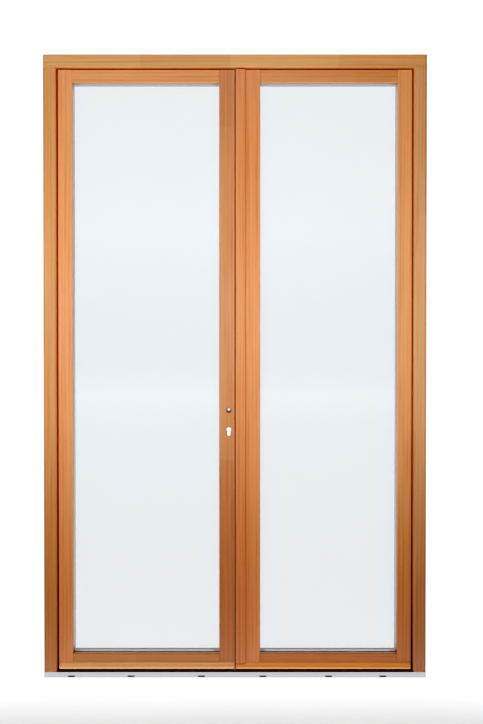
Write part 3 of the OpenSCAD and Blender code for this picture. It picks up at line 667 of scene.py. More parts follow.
class Workshop:
    """Turns shapes into finished pieces that ride on the frame's bodies."""

    def __init__(self) -> None:
        """Starts with no materials made."""
        self.made: dict[str, bpy.types.Material] = {}

    def material(self, finish: Finish) -> bpy.types.Material:
        """The material of a finish, made once."""
        if finish.name not in self.made:
            self.made[finish.name] = finish.make()
        return self.made[finish.name]

    def piece(self, name: str, shape: Shape, finish: Finish, body: str, slot: str,
              stands_for: Sequence[str] = (), sharp: float = PIECE_SHARP) -> bpy.types.Object:
        """Makes a piece from a shape.

        Args:
            name: the piece's name.
            shape: its closed mesh.
            finish: its finish.
            body: the CAD body that it rides on.
            slot: not used.
            stands_for: the CAD nodes that it replaces.
            sharp: the angle in degrees from which an edge stays sharp.

        Returns:
            The object.
        """
        mesh = bpy.data.meshes.new(name)
        mesh.from_pydata(shape.points.tolist(), [], shape.faces)
        form = bmesh.new()
        form.from_mesh(mesh)
        bmesh.ops.recalc_face_normals(form, faces=form.faces)
        form.to_mesh(mesh)
        form.free()
        return self.finished(name, mesh, finish, body, stands_for, sharp)

    def member(self, node: str, finish: Finish, body: str, slot: str, ease: float,
               shortest: float = 0.0) -> bpy.types.Object:
        """Makes a piece from the CAD node of its name, with its outer edges eased.

        A copy of the node's mesh is merged and its flat faces joined. Each convex edge that turns by
        more than CORNER is then rounded over by the radius ease.

        Args:
            node: the CAD node.
            finish: its finish.
            body: the CAD body that it rides on.
            slot: not used.
            ease: radius of the eased edges.
            shortest: edges shorter than this stay crisp.

        Returns:
            The object.
        """
        form = bmesh.new()
        form.from_mesh(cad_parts[node].data)
        bmesh.ops.remove_doubles(form, verts=form.verts, dist=WELD)
        bmesh.ops.dissolve_limit(form, angle_limit=math.radians(FLAT), verts=form.verts, edges=form.edges)
        edges = [e for e in form.edges if len(e.link_faces) == 2 and e.is_convex
                 and e.calc_face_angle() > math.radians(CORNER) and e.calc_length() >= shortest]
        bmesh.ops.bevel(form, geom=edges, offset=ease, offset_type="OFFSET", segments=2, profile=0.5,
                        affect="EDGES", clamp_overlap=False)
        mesh = bpy.data.meshes.new(node)
        form.to_mesh(mesh)
        form.free()
        return self.finished(node, mesh, finish, body, (node,), MEMBER_SHARP)

    def finished(self, name: str, mesh: bpy.types.Mesh, finish: Finish, body: str,
                 stands_for: Sequence[str], sharp: float) -> bpy.types.Object:
        """Shades, dresses and mounts a mesh; the arguments are those of piece()."""
        mesh.polygons.foreach_set("use_smooth", np.ones(len(mesh.polygons), bool))
        mesh.set_sharp_from_angle(angle=math.radians(sharp))
        mesh.materials.append(self.material(finish))
        obj = bpy.data.objects.new(name, mesh)
        bpy.context.scene.collection.objects.link(obj)
        even = obj.modifiers.new("even_shading", "WEIGHTED_NORMAL")
        even.keep_sharp = True
        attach(obj, body)
        if stands_for:
            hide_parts(*stands_for)
        LOG.info("%s: %d faces on %s", name, len(mesh.polygons), body)
        return obj


# ---------- The finishes of these doors ----------

ALUMINIUM = Metal("mill_aluminium", shown(184, 186, 192), 0.34, Axis.X)
SPACER = Metal("spacer_bar", shown(205, 203, 198), 0.38, Axis.Y, 0.00003)
HINGE_STEEL = Metal("hinge_steel", shown(205, 205, 206), 0.28, Axis.Z, 0.00003)
LOCK_STEEL = Metal("lock_steel", shown(196, 196, 198), 0.36, Axis.Z)
CLEAR = Glass("clear_glass", shown(130, 168, 188), 0.135)
GASKET = Polymer("gasket_rubber", shown(74, 52, 38), 0.72)
SEALANT = Polymer("unit_sealant", shown(38, 38, 40), 0.6)
KEY_PLASTIC = Polymer("corner_key", shown(186, 184, 192), 0.42)
BLOCK_PLASTIC = Polymer("block_plastic", shown(90, 92, 96), 0.5)


# ---------- The frame ----------


@dataclass
class FrameAssembly:
    """Head, jambs, threshold and the frame's seals."""

    shop: Workshop
    ease: float = 0.9 * MM
    crisp: float = 4.0 * MM
    sill_ease: float = 0.35 * MM
    sill_crisp: float = 2.0 * MM
    plate_ease: float = 0.25 * MM
    stem_width: float = 2.6 * MM
    stem_length: float = 4.6 * MM
    body: str = "frame"

    def build(self) -> None:
        """Builds every piece of the frame."""
        self.timber()
        self.threshold()
        self.seals()
        self.keeper()

    def timber(self) -> None:
        """The two jambs and the head."""
        low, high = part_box("head")
        head = Timber("head_timber", shown(225, 154, 100), Axis.X, low.x, high.x,
                      ((low.x, 1.0), (-0.33, 0.93), (-0.02, 1.04), (0.36, 0.97)), (0.3, 0.1, 0.7))
        self.shop.member("head", head, self.body, "frame_timber", self.ease, self.crisp)
        # The last number, foot, is painted shade at each jamb's foot; the right jamb's is deeper, as the
        # light comes from the left.
        for node, colour, boards, start, foot in (
            ("left_jamb", shown(216, 142, 91), ((0.0, 0.97), (0.62, 1.0), (1.36, 1.03)), 0.17, 0.58),
            ("right_jamb", shown(221, 153, 107), ((0.0, 0.98), (0.84, 1.0), (1.62, 0.97)), 0.63, 0.42),
        ):
            finish = Timber(f"{node}_timber", colour, Axis.Z, 0.0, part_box(node)[1].z, boards,
                            (start, 0.4, 0.2), foot=foot)
            self.shop.member(node, finish, self.body, "frame_timber", self.ease, self.crisp)

    def threshold(self) -> None:
        """The aluminium threshold with its drain slots."""
        self.shop.member("threshold", ALUMINIUM, self.body, "mill_aluminium", self.sill_ease,
                         self.sill_crisp)

    def seals(self) -> None:
        """The bulb gasket round three sides and the seal behind the threshold's nose."""
        low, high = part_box("frame_gasket")
        seal_low, seal_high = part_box("threshold_seal")
        width = seal_high.z - seal_low.z
        half = high.x - width
        front, back = seal_low.y, high.y
        stem0, stem1 = (width - self.stem_width) / 2, (width + self.stem_width) / 2
        tip = front - self.stem_length
        outline = rounded(
            [[0, front], [stem0, front], [stem0, tip], [stem1, tip],
             [stem1, front], [width, front], [width, back], [0, back]],
            [0.3 * MM, 0.2 * MM, 0.5 * MM, 0.5 * MM, 0.2 * MM, 0.3 * MM, 1.9 * MM, 1.9 * MM], 5)
        self.shop.piece("frame_gasket", arch(outline, half, low.z, high.z - width), GASKET, self.body,
                        "gasket_rubber", ("frame_gasket",))
        (y0, z0), (y1, z1) = seal_low.yz, seal_high.yz
        fins = rounded(
            [[y0, z0], [y1 - 1.1 * MM, z0], [y1, z0 + 1.6 * MM], [y1 - 1.2 * MM, (z0 + z1) / 2],
             [y1, z1 - 1.4 * MM], [y1 - 1.1 * MM, z1], [y0, z1]], 0.35 * MM, 3)
        self.shop.piece("threshold_seal", eased(fins, Axis.X, seal_low.x, seal_high.x, 0.3 * MM), GASKET,
                        self.body, "gasket_rubber", ("threshold_seal",))

    def keeper(self) -> None:
        """The plate under the head that the rod and the flush bolt go into, with its screws."""
        low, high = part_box("head_keeper")
        self.shop.member("head_keeper", LOCK_STEEL, self.body, "lock_steel", self.plate_ease)
        heads = together(screw_head([x, (low.y + high.y) / 2, low.z], Axis.Z, -1, 2.4 * MM)
                         for x in (low.x + 5 * MM, 0.0, high.x - 4 * MM))
        self.shop.piece("head_keeper_screws", heads, LOCK_STEEL, self.body, "lock_steel")


# ---------- The leaves ----------


@dataclass
class LeafAssembly:
    """One leaf: its timber, its glass unit, its beads and its weather bar.

    The weather bar's ends shrink to the share weather_end over the length weather_taper.
    """

    shop: Workshop
    hand: Hand
    body: str
    meeting: str
    tones: dict[str, Timber]
    ease: float = 0.8 * MM
    crisp: float = 1.0 * MM
    bead_round: float = 4.2 * MM
    bead_ease: float = 0.3 * MM
    pane_round: float = 1.5 * MM
    pane_ease: float = 0.4 * MM
    spacer_groove: float = 0.35 * MM
    fill_gap: float = 0.3 * MM
    tape_inset: float = 1.0 * MM
    block_length: float = 80 * MM
    block_ease: float = 0.5 * MM
    key_leg: float = 20 * MM
    key_proud: float = 0.4 * MM
    key_round: float = 3.0 * MM
    key_gap: float = 0.4 * MM
    pin_radius: float = 1.1 * MM
    pin_length: float = 1.0 * MM
    pin_sunk: float = 0.05 * MM
    pin_inset: float = 10 * MM
    pin_margin: float = 60 * MM
    pin_pitch: float = 240 * MM
    weather_nose: float = 6.0 * MM
    weather_drip: float = 3.0 * MM
    weather_taper: float = 2.5 * MM
    weather_end: float = 0.84
    weather_sharp: float = 30.0

    def node(self, part: str) -> str:
        """The CAD node of one of the leaf's parts."""
        return f"{self.body}_{part}"

    def add(self, part: str, shape: Shape, finish: Finish, slot: str, drawn: bool = True,
            sharp: float = PIECE_SHARP) -> None:
        """Adds a piece that is named after its part.

        Args:
            part: the part.
            shape: its closed mesh.
            finish: its finish.
            slot: not used.
            drawn: whether the CAD model has a node for the part, which the piece then replaces.
            sharp: the angle in degrees from which an edge stays sharp.
        """
        name = self.node(part)
        self.shop.piece(name, shape, finish, self.body, slot, (name,) if drawn else (), sharp)

    def opening(self) -> tuple[Vector, Vector]:
        """Lowest and highest corner of the clear opening, from the beads."""
        low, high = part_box(self.node("bead_hinge_side"))
        other_low, other_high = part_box(self.node(f"bead_{self.meeting}_side"))
        inner = sorted((low.x, high.x, other_low.x, other_high.x))
        return Vector((inner[1], low.y, low.z)), Vector((inner[2], high.y, high.z))

    def build(self) -> None:
        """Builds every piece of the leaf."""
        self.timber()
        self.beads()
        self.unit()
        self.weather_bar()

    def timber(self) -> None:
        """The two stiles and the two rails."""
        for part in ("hinge_stile", f"{self.meeting}_stile", "top_rail", "bottom_rail"):
            node = self.node(part)
            self.shop.member(node, self.tones[part], self.body, "leaf_timber", self.ease, self.crisp)

    def beads(self) -> None:
        """The four glazing beads, with a rounded inner edge, and the pins that hold them."""
        low, high = self.opening()
        cover, front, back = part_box(self.node("bead_top"))[1].z - high.z, low.y, high.y
        section = rounded([[0, front], [cover, front], [cover, back], [0, back]],
                          [0.3 * MM, 0.3 * MM, 0.4 * MM, self.bead_round], 6)
        for part, z, sign in (("bead_top", high.z, 1), ("bead_bottom", low.z, -1)):
            outline = np.column_stack([section[:, 1], z + sign * section[:, 0]])
            shape = eased(outline, Axis.X, low.x - cover, high.x + cover, self.bead_ease)
            self.add(part, shape, self.tones["top_rail"], "leaf_timber")
        outer = self.hand.value
        for part, sign in (("bead_hinge_side", outer), (f"bead_{self.meeting}_side", -outer)):
            x = high.x if sign > 0 else low.x
            outline = np.column_stack([x + sign * section[:, 0], section[:, 1]])
            shape = eased(outline, Axis.Z, low.z, high.z, self.bead_ease)
            self.add(part, shape, self.tones["hinge_stile"], "leaf_timber")
        self.pins(low, high, back)

    def pins(self, low: Vector, high: Vector, back: float) -> None:
        """The heads of the brads in the beads' indoor faces.

        Args:
            low: lowest corner of the opening.
            high: highest corner of the opening.
            back: Y of the beads' indoor faces.
        """
        def row(start: float, end: float) -> Array:
            """Places of the pins along a bead that runs from start to end."""
            count = 1 + round((end - start) / self.pin_pitch)
            return np.linspace(start + self.pin_margin, end - self.pin_margin, count)

        inset, radius, length = self.pin_inset, self.pin_radius, self.pin_length
        head = [[0, 0], [radius, 0], [radius, -length], [0, -length]]
        spots = [(x, z) for x in row(low.x, high.x) for z in (low.z - inset, high.z + inset)]
        spots += [(x, z) for z in row(low.z, high.z) for x in (low.x - inset, high.x + inset)]
        heads = together(turned(head, [x, back - self.pin_sunk, z], Axis.Y, 12) for x, z in spots)
        self.add("bead_pins", heads, LOCK_STEEL, "lock_steel", drawn=False)

    def unit(self) -> None:
        """The sealed glass unit: two panes, spacer bars, corner keys, sealant, tape and blocks."""
        for part in ("outer_pane", "inner_pane"):
            low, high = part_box(self.node(part))
            outline = box_outline((low.z, low.x), (high.z, high.x), self.pane_round)
            self.add(part, eased(outline, Axis.Y, low.y, high.y, self.pane_ease), CLEAR, "clear_glass")
        low, high = self.opening()
        bar_low, bar_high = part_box(self.node("spacer"))
        pane_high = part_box(self.node("outer_pane"))[1]
        bar, cover = bar_high.z - high.z, pane_high.z - high.z
        y0, y1 = bar_low.y, bar_high.y
        middle, groove = (y0 + y1) / 2, self.spacer_groove
        section = rounded(
            [[0, y0], [0, middle - groove], [groove, middle], [0, middle + groove], [0, y1],
             [bar * 0.45, y1], [bar, y1 - 3 * MM], [bar, y0 + 3 * MM], [bar * 0.45, y0]][::-1],
            [0.5 * MM, 1 * MM, 1 * MM, 0.5 * MM, 0.5 * MM, 0.05 * MM, 0.1 * MM, 0.05 * MM, 0.5 * MM], 3)
        edges = ((low.x, low.z), (high.x, high.z))
        self.add("spacer", hoop(section, *edges), SPACER, "spacer_bar")
        fill = box_outline((bar, y0), (cover - self.fill_gap, y1), 0.2 * MM)
        self.add("unit_sealant", hoop(fill, *edges), SEALANT, "gasket_rubber", drawn=False)
        self.keys(low, high, y0, y1)
        tape_low, tape_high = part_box(self.node("glazing_tape"))
        tape = box_outline((self.tape_inset, tape_low.y), (tape_high.z - high.z, tape_high.y), 0.6 * MM)
        self.add("glazing_tape", hoop(tape, *edges), GASKET, "gasket_rubber")
        low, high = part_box(self.node("setting_blocks"))
        outline = box_outline((low.y, low.z), (high.y, high.z), 0.6 * MM)
        blocks = together(eased(outline, Axis.X, x, x + self.block_length, self.block_ease)
                          for x in (low.x, high.x - self.block_length))
        self.add("setting_blocks", blocks, BLOCK_PLASTIC, "block_plastic")

    def keys(self, low: Vector, high: Vector, y0: float, y1: float) -> None:
        """The corner keys that join the spacer bars.

        Args:
            low: lowest corner of the opening.
            high: highest corner of the opening.
            y0: front of the spacer bars.
            y1: back of the spacer bars.
        """
        leg, out, heel = self.key_leg, self.key_proud, self.key_round
        angle = rounded([[0, 0], [leg, 0], [leg, out], [heel, out], [out, heel], [out, leg], [0, leg]],
                        [0.1 * MM, 0.1 * MM, 0.3 * MM, 2.0 * MM, 2.0 * MM, 0.3 * MM, 0.1 * MM], 3)
        shapes = []
        for x, sx in ((low.x, 1), (high.x, -1)):
            for z, sz in ((low.z, 1), (high.z, -1)):
                outline = np.column_stack([z + sz * angle[:, 1], x + sx * angle[:, 0]])
                shapes.append(carried(outline, Axis.Y, (y0 + self.key_gap, y1 - self.key_gap)))
        self.add("corner_keys", together(shapes), KEY_PLASTIC, "spacer_bar", drawn=False)

    def weather_bar(self) -> None:
        """The weather bar: a sloping top, a rounded nose and a drip groove, with tapered ends."""
        low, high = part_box(self.node("weather_bar"))
        (front, foot), (back, top) = low.yz, high.yz
        nose, drip, taper, flat = foot + self.weather_nose, self.weather_drip, self.weather_taper, 1.5 * MM
        outline = rounded(
            [[back, foot], [back, top], [back - flat, top], [front + flat, nose + flat],
             [front, nose], [front, foot + flat], [front + flat, foot], [front + drip, foot],
             [front + drip, foot + drip], [front + 2 * drip, foot + drip], [front + 2 * drip, foot]],
            np.array([0.2, 0.2, 0.5, 1.0, 0.9, 0.9, 0.7, 0.2, 0.6, 0.6, 0.3]) * MM, 4)
        shape = carried(outline, Axis.X, (low.x, low.x + taper, high.x - taper, high.x),
                        (self.weather_end, 1, 1, self.weather_end), (back, (foot + top) / 2))
        self.add("weather_bar", shape, self.tones["weather_bar"], "leaf_timber", sharp=self.weather_sharp)


@dataclass
class MeetingEdge:
    """What stands at the meeting line: the cover strip and the soft seal, both on the cover leaf."""

    shop: Workshop
    body: str = "cover_leaf"
    strip_round: float = 6.8 * MM
    seal_reach: float = 0.48 * MM
    stem_length: float = 4.0 * MM
    stem_half: float = 0.9 * MM

    def build(self) -> None:
        """Builds the strip and the seal."""
        low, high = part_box("cover_strip")
        outline = rounded([[low.x, low.y], [high.x, low.y], [high.x, high.y], [low.x, high.y]],
                          [self.strip_round, self.strip_round, 0.3 * MM, 0.3 * MM], 8)
        ends, scales = np.array([0, 0.5, 1.4, 3.0]) * MM, np.array([0.86, 0.92, 0.97, 1.0])
        # foot=0.68 is painted shade: the strip's colour darkens towards its foot.
        finish = Timber("strip_timber", shown(226, 135, 88), Axis.Z, 0.0, high.z, ((0.0, 0.97), (0.9, 1.0)),
                        (0.9, 0.2, 0.1), foot=0.68)
        stations = np.concatenate([low.z + ends, (high.z - ends)[::-1]])
        shape = carried(outline, Axis.Z, stations, np.concatenate([scales, scales[::-1]]),
                        ((low.x + high.x) / 2, high.y))
        self.shop.piece("cover_strip", shape, finish, self.body, "leaf_timber", ("cover_strip",))
        low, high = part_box("meeting_seal")
        stem, tip, root = high.x - self.stem_length, low.x - self.seal_reach, high.x
        mid, half = (low.y + high.y) / 2, self.stem_half
        seal = rounded(
            [[tip, low.y + 0.8 * MM], [stem, low.y], [stem, mid - half], [root, mid - half],
             [root, mid + half], [stem, mid + half], [stem, high.y], [tip, high.y - 0.8 * MM],
             [tip + 0.9 * MM, mid]],
            np.array([0.12, 0.3, 0.1, 0.4, 0.4, 0.1, 0.3, 0.12, 0.3]) * MM, 3)
        self.shop.piece("meeting_seal", carried(seal, Axis.Z, (low.z, high.z)), GASKET, self.body,
                        "gasket_rubber", ("meeting_seal",))


# ---------- Hinges and lock ----------


@dataclass
class HingeSet:
    """Three lift-off hinges of one leaf, each with a pin half on the jamb and a cup half on the leaf.

    The cup's studs enter the middle of the leaf's lip, at lip_half from its indoor face. A stud's
    tip is the share stud_tip of its radius. The angle sharp is in degrees.
    """

    shop: Workshop
    hand: Hand
    leaf: str
    pin_radius: float = 4.0 * MM
    bore_radius: float = 4.05 * MM
    stud_radius: float = 2.9 * MM
    stud_tip: float = 0.6
    stud_point: float = 2.0 * MM
    stud_offset: float = 12 * MM
    pin_stud_start: float = 4.0 * MM
    cup_stud_start: float = 5.2 * MM
    barrel: float = 8.0 * MM
    barrel_gap: float = 0.4 * MM
    lip_half: float = 5.0 * MM
    sharp: float = 35.0

    def build(self) -> None:
        """Builds the halves of the three hinges."""
        side = self.hand.name.lower()
        for place in ("low", "mid", "top"):
            pin, cup = f"{side}_hinge_{place}_pin", f"{side}_hinge_{place}_cup"
            pin_low, pin_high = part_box(pin)
            cup_low, cup_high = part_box(cup)
            axis = ((pin_low.x + pin_high.x) / 2, cup_high.y - self.barrel)
            lower = self.pin_half(axis, pin_low, pin_high, cup_low.z - self.barrel_gap)
            upper = self.cup_half(axis, cup_low, cup_high)
            self.shop.piece(pin, lower, HINGE_STEEL, "frame", "hinge_steel", (pin,), self.sharp)
            self.shop.piece(cup, upper, HINGE_STEEL, self.leaf, "hinge_steel", (cup,), self.sharp)

    def pin_half(self, axis: tuple[float, float], low: Vector, high: Vector, joint: float) -> Shape:
        """The lower half: a barrel with a turned foot and the pin, and two studs into the jamb.

        Args:
            axis: X and Y of the hinge's axis.
            low: lowest corner of the CAD node.
            high: highest corner of the CAD node.
            joint: Z of the barrel's top.

        Returns:
            The shape.
        """
        r, p, foot, top = self.barrel, self.pin_radius, low.z - joint, high.z - joint
        chamfer = 1.2 * MM
        turning = MM * np.array(
            [[3.2, 0], [1.2, 0.5], [0.3, 1.6], [0.3, 4.0], [0.9, 4.4], [0.9, 5.0], [0, 5.4]])
        profile = [[0, foot], *([r, foot] + turning * [-1, 1]).tolist(), [r, -0.6 * MM], [r - 0.5 * MM, 0],
                   [p, 0], [p, top - chamfer], [p - chamfer, top], [0, top]]
        barrel = turned(profile, [*axis, joint], Axis.Z)
        end, start = low.y - axis[1], -self.pin_stud_start
        stud = [[0, end], [self.stud_radius * self.stud_tip, end], [self.stud_radius, end + self.stud_point],
                [self.stud_radius, start], [0, start]]
        studs = self.studs(stud, (*axis, (low.z + joint) / 2), Axis.Y)
        return together([barrel, *studs])

    def studs(self, profile: list[list[float]], middle: Place, axis: Axis) -> list[Shape]:
        """A half's two studs, one below and one above its middle."""
        x, y, z = middle
        return [turned(profile, [x, y, z + d], axis, 20) for d in (-self.stud_offset, self.stud_offset)]

    def cup_half(self, axis: tuple[float, float], low: Vector, high: Vector) -> Shape:
        """The upper half: a bored barrel with a domed cap, and two studs into the leaf's edge.

        Args:
            axis: X and Y of the hinge's axis.
            low: lowest corner of the CAD node.
            high: highest corner of the CAD node.

        Returns:
            The shape.
        """
        r, bore, top = self.barrel, self.bore_radius, high.z - low.z
        a = np.linspace(0, math.pi / 2, 7)
        dome = np.column_stack([(r - 0.3 * MM) * np.sin(a), top - 2.6 * MM * (1 - np.cos(a))])
        turning = [r, top] - np.array([[0.3, 4.4], [0.9, 4.8], [0.9, 5.4], [0, 5.8]]) * MM
        lower = [[r, 0.6 * MM], [r - 0.5 * MM, 0], [bore + 0.4 * MM, 0], [bore, 0.4 * MM],
                 [bore, top - 3 * MM], [0, top - 3 * MM]]
        barrel = turned(np.vstack([dome, turning, lower]), [*axis, low.z], Axis.Z)
        sense = -self.hand.value
        start, end = self.cup_stud_start * sense, (high.x if sense > 0 else low.x) - axis[0]
        stud = [[0, start], [self.stud_radius, start], [self.stud_radius, end - self.stud_point * sense],
                [self.stud_radius * self.stud_tip, end], [0, end]]
        seat_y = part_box(f"{self.leaf}_hinge_stile")[1].y - self.lip_half
        studs = self.studs(stud, (axis[0], seat_y, (low.z + high.z) / 2), Axis.X)
        return together([barrel, *studs])


@dataclass
class LockSet:
    """The lock in the lock stile, its rods and bolts, and the metalwork in the cover leaf's edge."""

    shop: Workshop
    ease: float = 0.25 * MM
    screw_radius: float = 3.0 * MM
    screw_sunk: float = 0.4 * MM
    face_screws: int = 9
    face_inset: float = 30 * MM
    plate_inset: float = 9 * MM
    inner_inset: float = 111 * MM
    moving: dict[str, str] = field(default_factory=lambda: {
        "lock_follower": "follower", "dead_bolt": "dead_bolt",
        "upper_rod": "upper_rod", "lower_rod": "lower_rod",
        "top_flush_bolt": "top_flush_bolt", "bottom_flush_bolt": "bottom_flush_bolt"})

    def build(self) -> None:
        """Builds the metalwork."""
        for node in ("lock_faceplate", "lock_case"):
            self.shop.member(node, LOCK_STEEL, "lock_leaf", "lock_steel", self.ease)
        for node in ("strike_plate", "flush_bolt_plates"):
            self.shop.member(node, LOCK_STEEL, "cover_leaf", "lock_steel", self.ease)
        for node, body in self.moving.items():
            self.shop.member(node, LOCK_STEEL, body, "lock_steel", self.ease)
        self.screws()

    def screws(self) -> None:
        """The plates' countersunk screws."""
        low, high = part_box("lock_faceplate")
        x, mid = high.x - self.screw_sunk, (low.y + high.y) / 2
        places = np.linspace(low.z + self.face_inset, high.z - self.face_inset, self.face_screws)
        heads = together(screw_head([x, mid, z], Axis.X, 1, self.screw_radius) for z in places)
        self.shop.piece("faceplate_screws", heads, LOCK_STEEL, "lock_leaf", "lock_steel")
        shapes = []
        for node, insets in (("strike_plate", (self.plate_inset,)),
                             ("flush_bolt_plates", (self.plate_inset, self.inner_inset))):
            low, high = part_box(node)
            x, mid = low.x + self.screw_sunk, (low.y + high.y) / 2
            shapes += [screw_head([x, mid, z], Axis.X, -1, self.screw_radius)
                       for inset in insets for z in (low.z + inset, high.z - inset)]
        self.shop.piece("cover_leaf_plate_screws", together(shapes), LOCK_STEEL, "cover_leaf", "lock_steel")


# ---------- The studio ----------


@dataclass
class Studio:
    """Pale floor and backdrop, soft lights and the camera."""

    shop: Workshop
    floor_front: float = 16.0
    floor_half: float = 40.0
    backdrop_y: float = 14.0
    backdrop_top: float = 14.0
    cove: float = 3.0
    air_strength: float = 0.12
    eye: Place = (0.0, -2.979, 1.26)
    look_down: float = 0.64
    lens: float = 42.0
    sensor: float = 36.0
    shift: tuple[float, float] = (0.009, -0.047)
    paper: Paint = Paint("studio_paper", (0.55, 0.55, 0.553), 8.0, (
        (-8.0, 0.85), (-4.0, 0.55), (-2.0, 0.15), (-0.6, 0.10), (-0.07, 1.26), (8.0, 1.26)))
    tone_white: float = 1.29
    tone_points: tuple[tuple[float, float], ...] = (
        (0.044, 0.020), (0.075, 0.065), (0.174, 0.22), (0.31, 0.40), (0.50, 0.60), (0.775, 0.84))

    def build(self) -> None:
        """Sets up the floor, the lights, the camera and the tone curve."""
        self.floor()
        self.lights()
        self.camera()
        self.tone()

    def floor(self) -> None:
        """One sheet: the floor, a quarter-round cove of radius r, and the backdrop.

        Along the sheet, the cove's point at angle a is (r * sin a, r - r * cos a) past the floor's
        end, and the sheet is the same at every X.
        """
        a = np.linspace(0, math.pi / 2, 24)
        end = self.backdrop_y - self.cove
        curve = np.column_stack([end + self.cove * np.sin(a), self.cove * (1 - np.cos(a))])
        path = np.vstack([[-self.floor_front, 0], curve, [self.backdrop_y, self.backdrop_top]])
        grid = np.zeros((len(path), 2, 3))
        grid[..., 0] = (-self.floor_half, self.floor_half)
        grid[..., 1:] = path[:, None, :]
        i = np.arange(len(path) - 1) * 2
        faces = np.column_stack([i, i + 1, i + 3, i + 2]).tolist()
        mesh = bpy.data.meshes.new("studio_floor")
        mesh.from_pydata(grid.reshape(-1, 3).tolist(), [], faces)
        mesh.polygons.foreach_set("use_smooth", np.ones(len(mesh.polygons), bool))
        mesh.materials.append(self.shop.material(self.paper))
        obj = bpy.data.objects.new("studio_floor", mesh)
        bpy.context.scene.collection.objects.link(obj)

    def lights(self) -> None:
        """A low wide key close outdoors, soft lamps above, at the left and indoors, and a dim air.

        The key isn't seen by the camera or in glossy surfaces.
        """
        world = bpy.data.worlds.new("studio_air")
        world.use_nodes = True
        air = next(n for n in world.node_tree.nodes if n.type == "BACKGROUND")
        air.inputs["Color"].default_value = (1.0, 1.0, 1.0, 1)
        air.inputs["Strength"].default_value = self.air_strength
        bpy.context.scene.world = world
        key = self.lamp("key", (-0.18, -1.12, 1.30), (-0.18, 0.0, 1.30), (2.0, 0.4), 15.9)
        key.visible_camera = key.visible_glossy = False
        self.lamp("upper_soft", (-0.4, -1.5, 2.9), (0.0, 0.0, 2.15), (1.6, 0.5), 5.6)
        self.lamp("side_sheen", (-2.4, -1.2, 2.4), (0.0, 0.0, 1.6), (1.4, 1.4), 5.0)
        self.lamp("indoor_soft", (0.6, 3.0, 4.2), (0.0, 0.0, 1.1), (2.5, 2.5), 22.0)

    def lamp(self, name: str, place: Sequence[float], aim: Sequence[float], size: tuple[float, float],
             watts: float) -> bpy.types.Object:
        """Adds a white rectangular area light.

        Args:
            name: the light's name.
            place: where it hangs.
            aim: the point that it faces.
            size: its width and height.
            watts: its power.

        Returns:
            The light's object.
        """
        data = bpy.data.lights.new(name, "AREA")
        data.shape, data.energy = "RECTANGLE", watts
        data.size, data.size_y = size
        obj = bpy.data.objects.new(name, data)
        obj.location = place
        obj.rotation_euler = (Vector(aim) - Vector(place)).to_track_quat("-Z", "Y").to_euler()
        bpy.context.scene.collection.objects.link(obj)
        return obj

    def camera(self) -> None:
        """The camera: outdoors, nearly level, a little above the middle of the doors."""
        data = bpy.data.cameras.new("camera")
        data.lens, data.sensor_width = self.lens, self.sensor
        data.shift_x, data.shift_y = self.shift
        obj = bpy.data.objects.new("camera", data)
        obj.location = self.eye
        obj.rotation_euler = (math.radians(90 - self.look_down), 0.0, 0.0)
        bpy.context.scene.collection.objects.link(obj)
        bpy.context.scene.camera = obj

    def tone(self) -> None:
        """The tone curve: a steep foot, which deepens the shade, and a soft shoulder."""
        view = bpy.context.scene.view_settings
        view.view_transform = "Standard"
        view.use_curve_mapping = True
        combined = view.curve_mapping.curves[3]
        for place, height in self.tone_points:
            combined.points.new(place, height)
        view.curve_mapping.white_level = (self.tone_white,) * 3
        view.curve_mapping.update()


# ---------- Assembly ----------

# A little more than a leaf's width: the length that the finish of a rail or a bar is laid out over.
LEAF_SPAN = 0.7


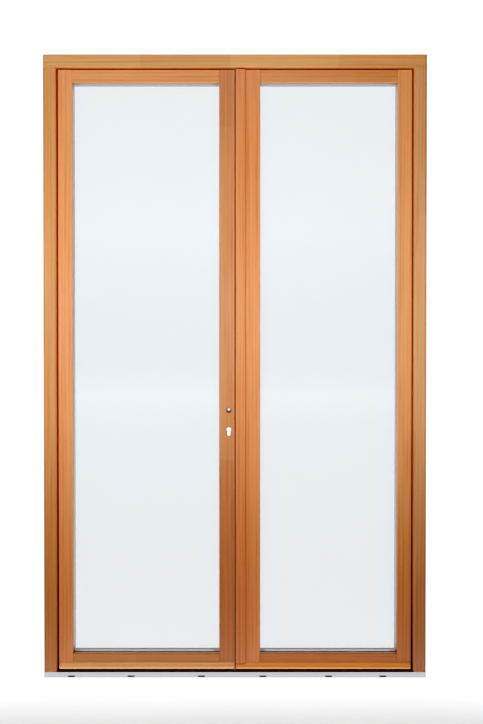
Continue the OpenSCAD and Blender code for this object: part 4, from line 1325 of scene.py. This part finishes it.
def leaf_tones(hand: Hand) -> dict[str, Timber]:
    """The finishes of one leaf's timber members.

    Args:
        hand: the leaf's side.

    Returns:
        A finish for each member.
    """
    side = hand.name.lower()
    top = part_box(f"{side}_jamb")[1].z

    def upright(name: str, colour: Colour, joints: Joints, offset: Place, foot: float) -> Timber:
        """A stile's finish: its grain runs up, and its colour darkens towards the foot as painted shade."""
        return Timber(f"{name}_timber", colour, Axis.Z, 0.0, top, joints, offset, foot=foot)

    def level(name: str, colour: Colour, joints: Joints, offset: Place) -> Timber:
        """A rail's or a bar's finish: its grain runs across. The joints are counted from its left."""
        low = -LEAF_SPAN if hand is Hand.LEFT else 0.0
        placed = tuple((low + x, tone) for x, tone in joints)
        return Timber(f"{side}_{name}_timber", colour, Axis.X, low, low + LEAF_SPAN, placed, offset)

    # Each stile's last number is painted shade at its foot, standing in for the weaker light low down.
    if hand is Hand.LEFT:
        return {
            "hinge_stile": upright("left_hinge_stile", shown(236, 146, 96),
                                   ((0.0, 0.98), (0.55, 1.0), (1.30, 1.02)), (0.11, 0.3, 0.5), 0.72),
            "lock_stile": upright("lock_stile", shown(205, 130, 90),
                                  ((0.0, 0.91), (0.757, 1.0), (1.93, 0.95)), (0.47, 0.1, 0.9), 0.70),
            "top_rail": level("top_rail", shown(230, 145, 93), ((0.0, 1.0), (0.52, 0.97)), (0.2, 0.5, 0.3)),
            # Painted shade: the bottom rail's colour is darker than the top rail's, for the weaker light low
            # down.
            "bottom_rail": level("bottom_rail", shown(180, 111, 64), ((0.0, 1.0), (0.35, 0.96)),
                                 (0.6, 0.8, 0.3)),
            # Painted light: the weather bar's colour is raised to stand in for the light on its sloping top.
            "weather_bar": level("weather_bar", shown(250, 174, 120), ((0.0, 1.0),), (0.4, 0.6, 0.1)),
        }
    return {
        "hinge_stile": upright("right_hinge_stile", shown(234, 152, 100),
                               ((0.0, 0.98), (1.05, 1.0), (1.70, 0.99)), (0.81, 0.3, 0.2), 0.50),
        "cover_stile": upright("cover_stile", shown(230, 140, 92),
                               ((0.0, 0.98), (0.62, 1.0), (1.44, 0.99)), (0.37, 0.7, 0.4), 0.74),
        "top_rail": level("top_rail", shown(216, 138, 90), ((0.0, 1.0), (0.42, 0.96)), (0.1, 0.9, 0.3)),
        # Painted shade: the bottom rail's colour is darker than the top rail's, for the weaker light low
        # down.
        "bottom_rail": level("bottom_rail", shown(176, 101, 57), ((0.0, 1.0), (0.3, 0.97)), (0.5, 0.2, 0.6)),
        # Painted light: the weather bar's colour is raised to stand in for the light on its sloping top.
        "weather_bar": level("weather_bar", shown(244, 155, 93), ((0.0, 1.0),), (0.3, 0.3, 0.8)),
    }


def main() -> None:
    """Builds the doors and the studio."""
    logging.basicConfig(level=logging.INFO, format="%(name)s %(message)s")
    shop = Workshop()
    Studio(shop).build()
    FrameAssembly(shop).build()
    LeafAssembly(shop, Hand.LEFT, "lock_leaf", "lock", leaf_tones(Hand.LEFT)).build()
    LeafAssembly(shop, Hand.RIGHT, "cover_leaf", "cover", leaf_tones(Hand.RIGHT)).build()
    MeetingEdge(shop).build()
    HingeSet(shop, Hand.LEFT, "lock_leaf").build()
    HingeSet(shop, Hand.RIGHT, "cover_leaf").build()
    LockSet(shop).build()


if __name__ == "__main__":
    main()
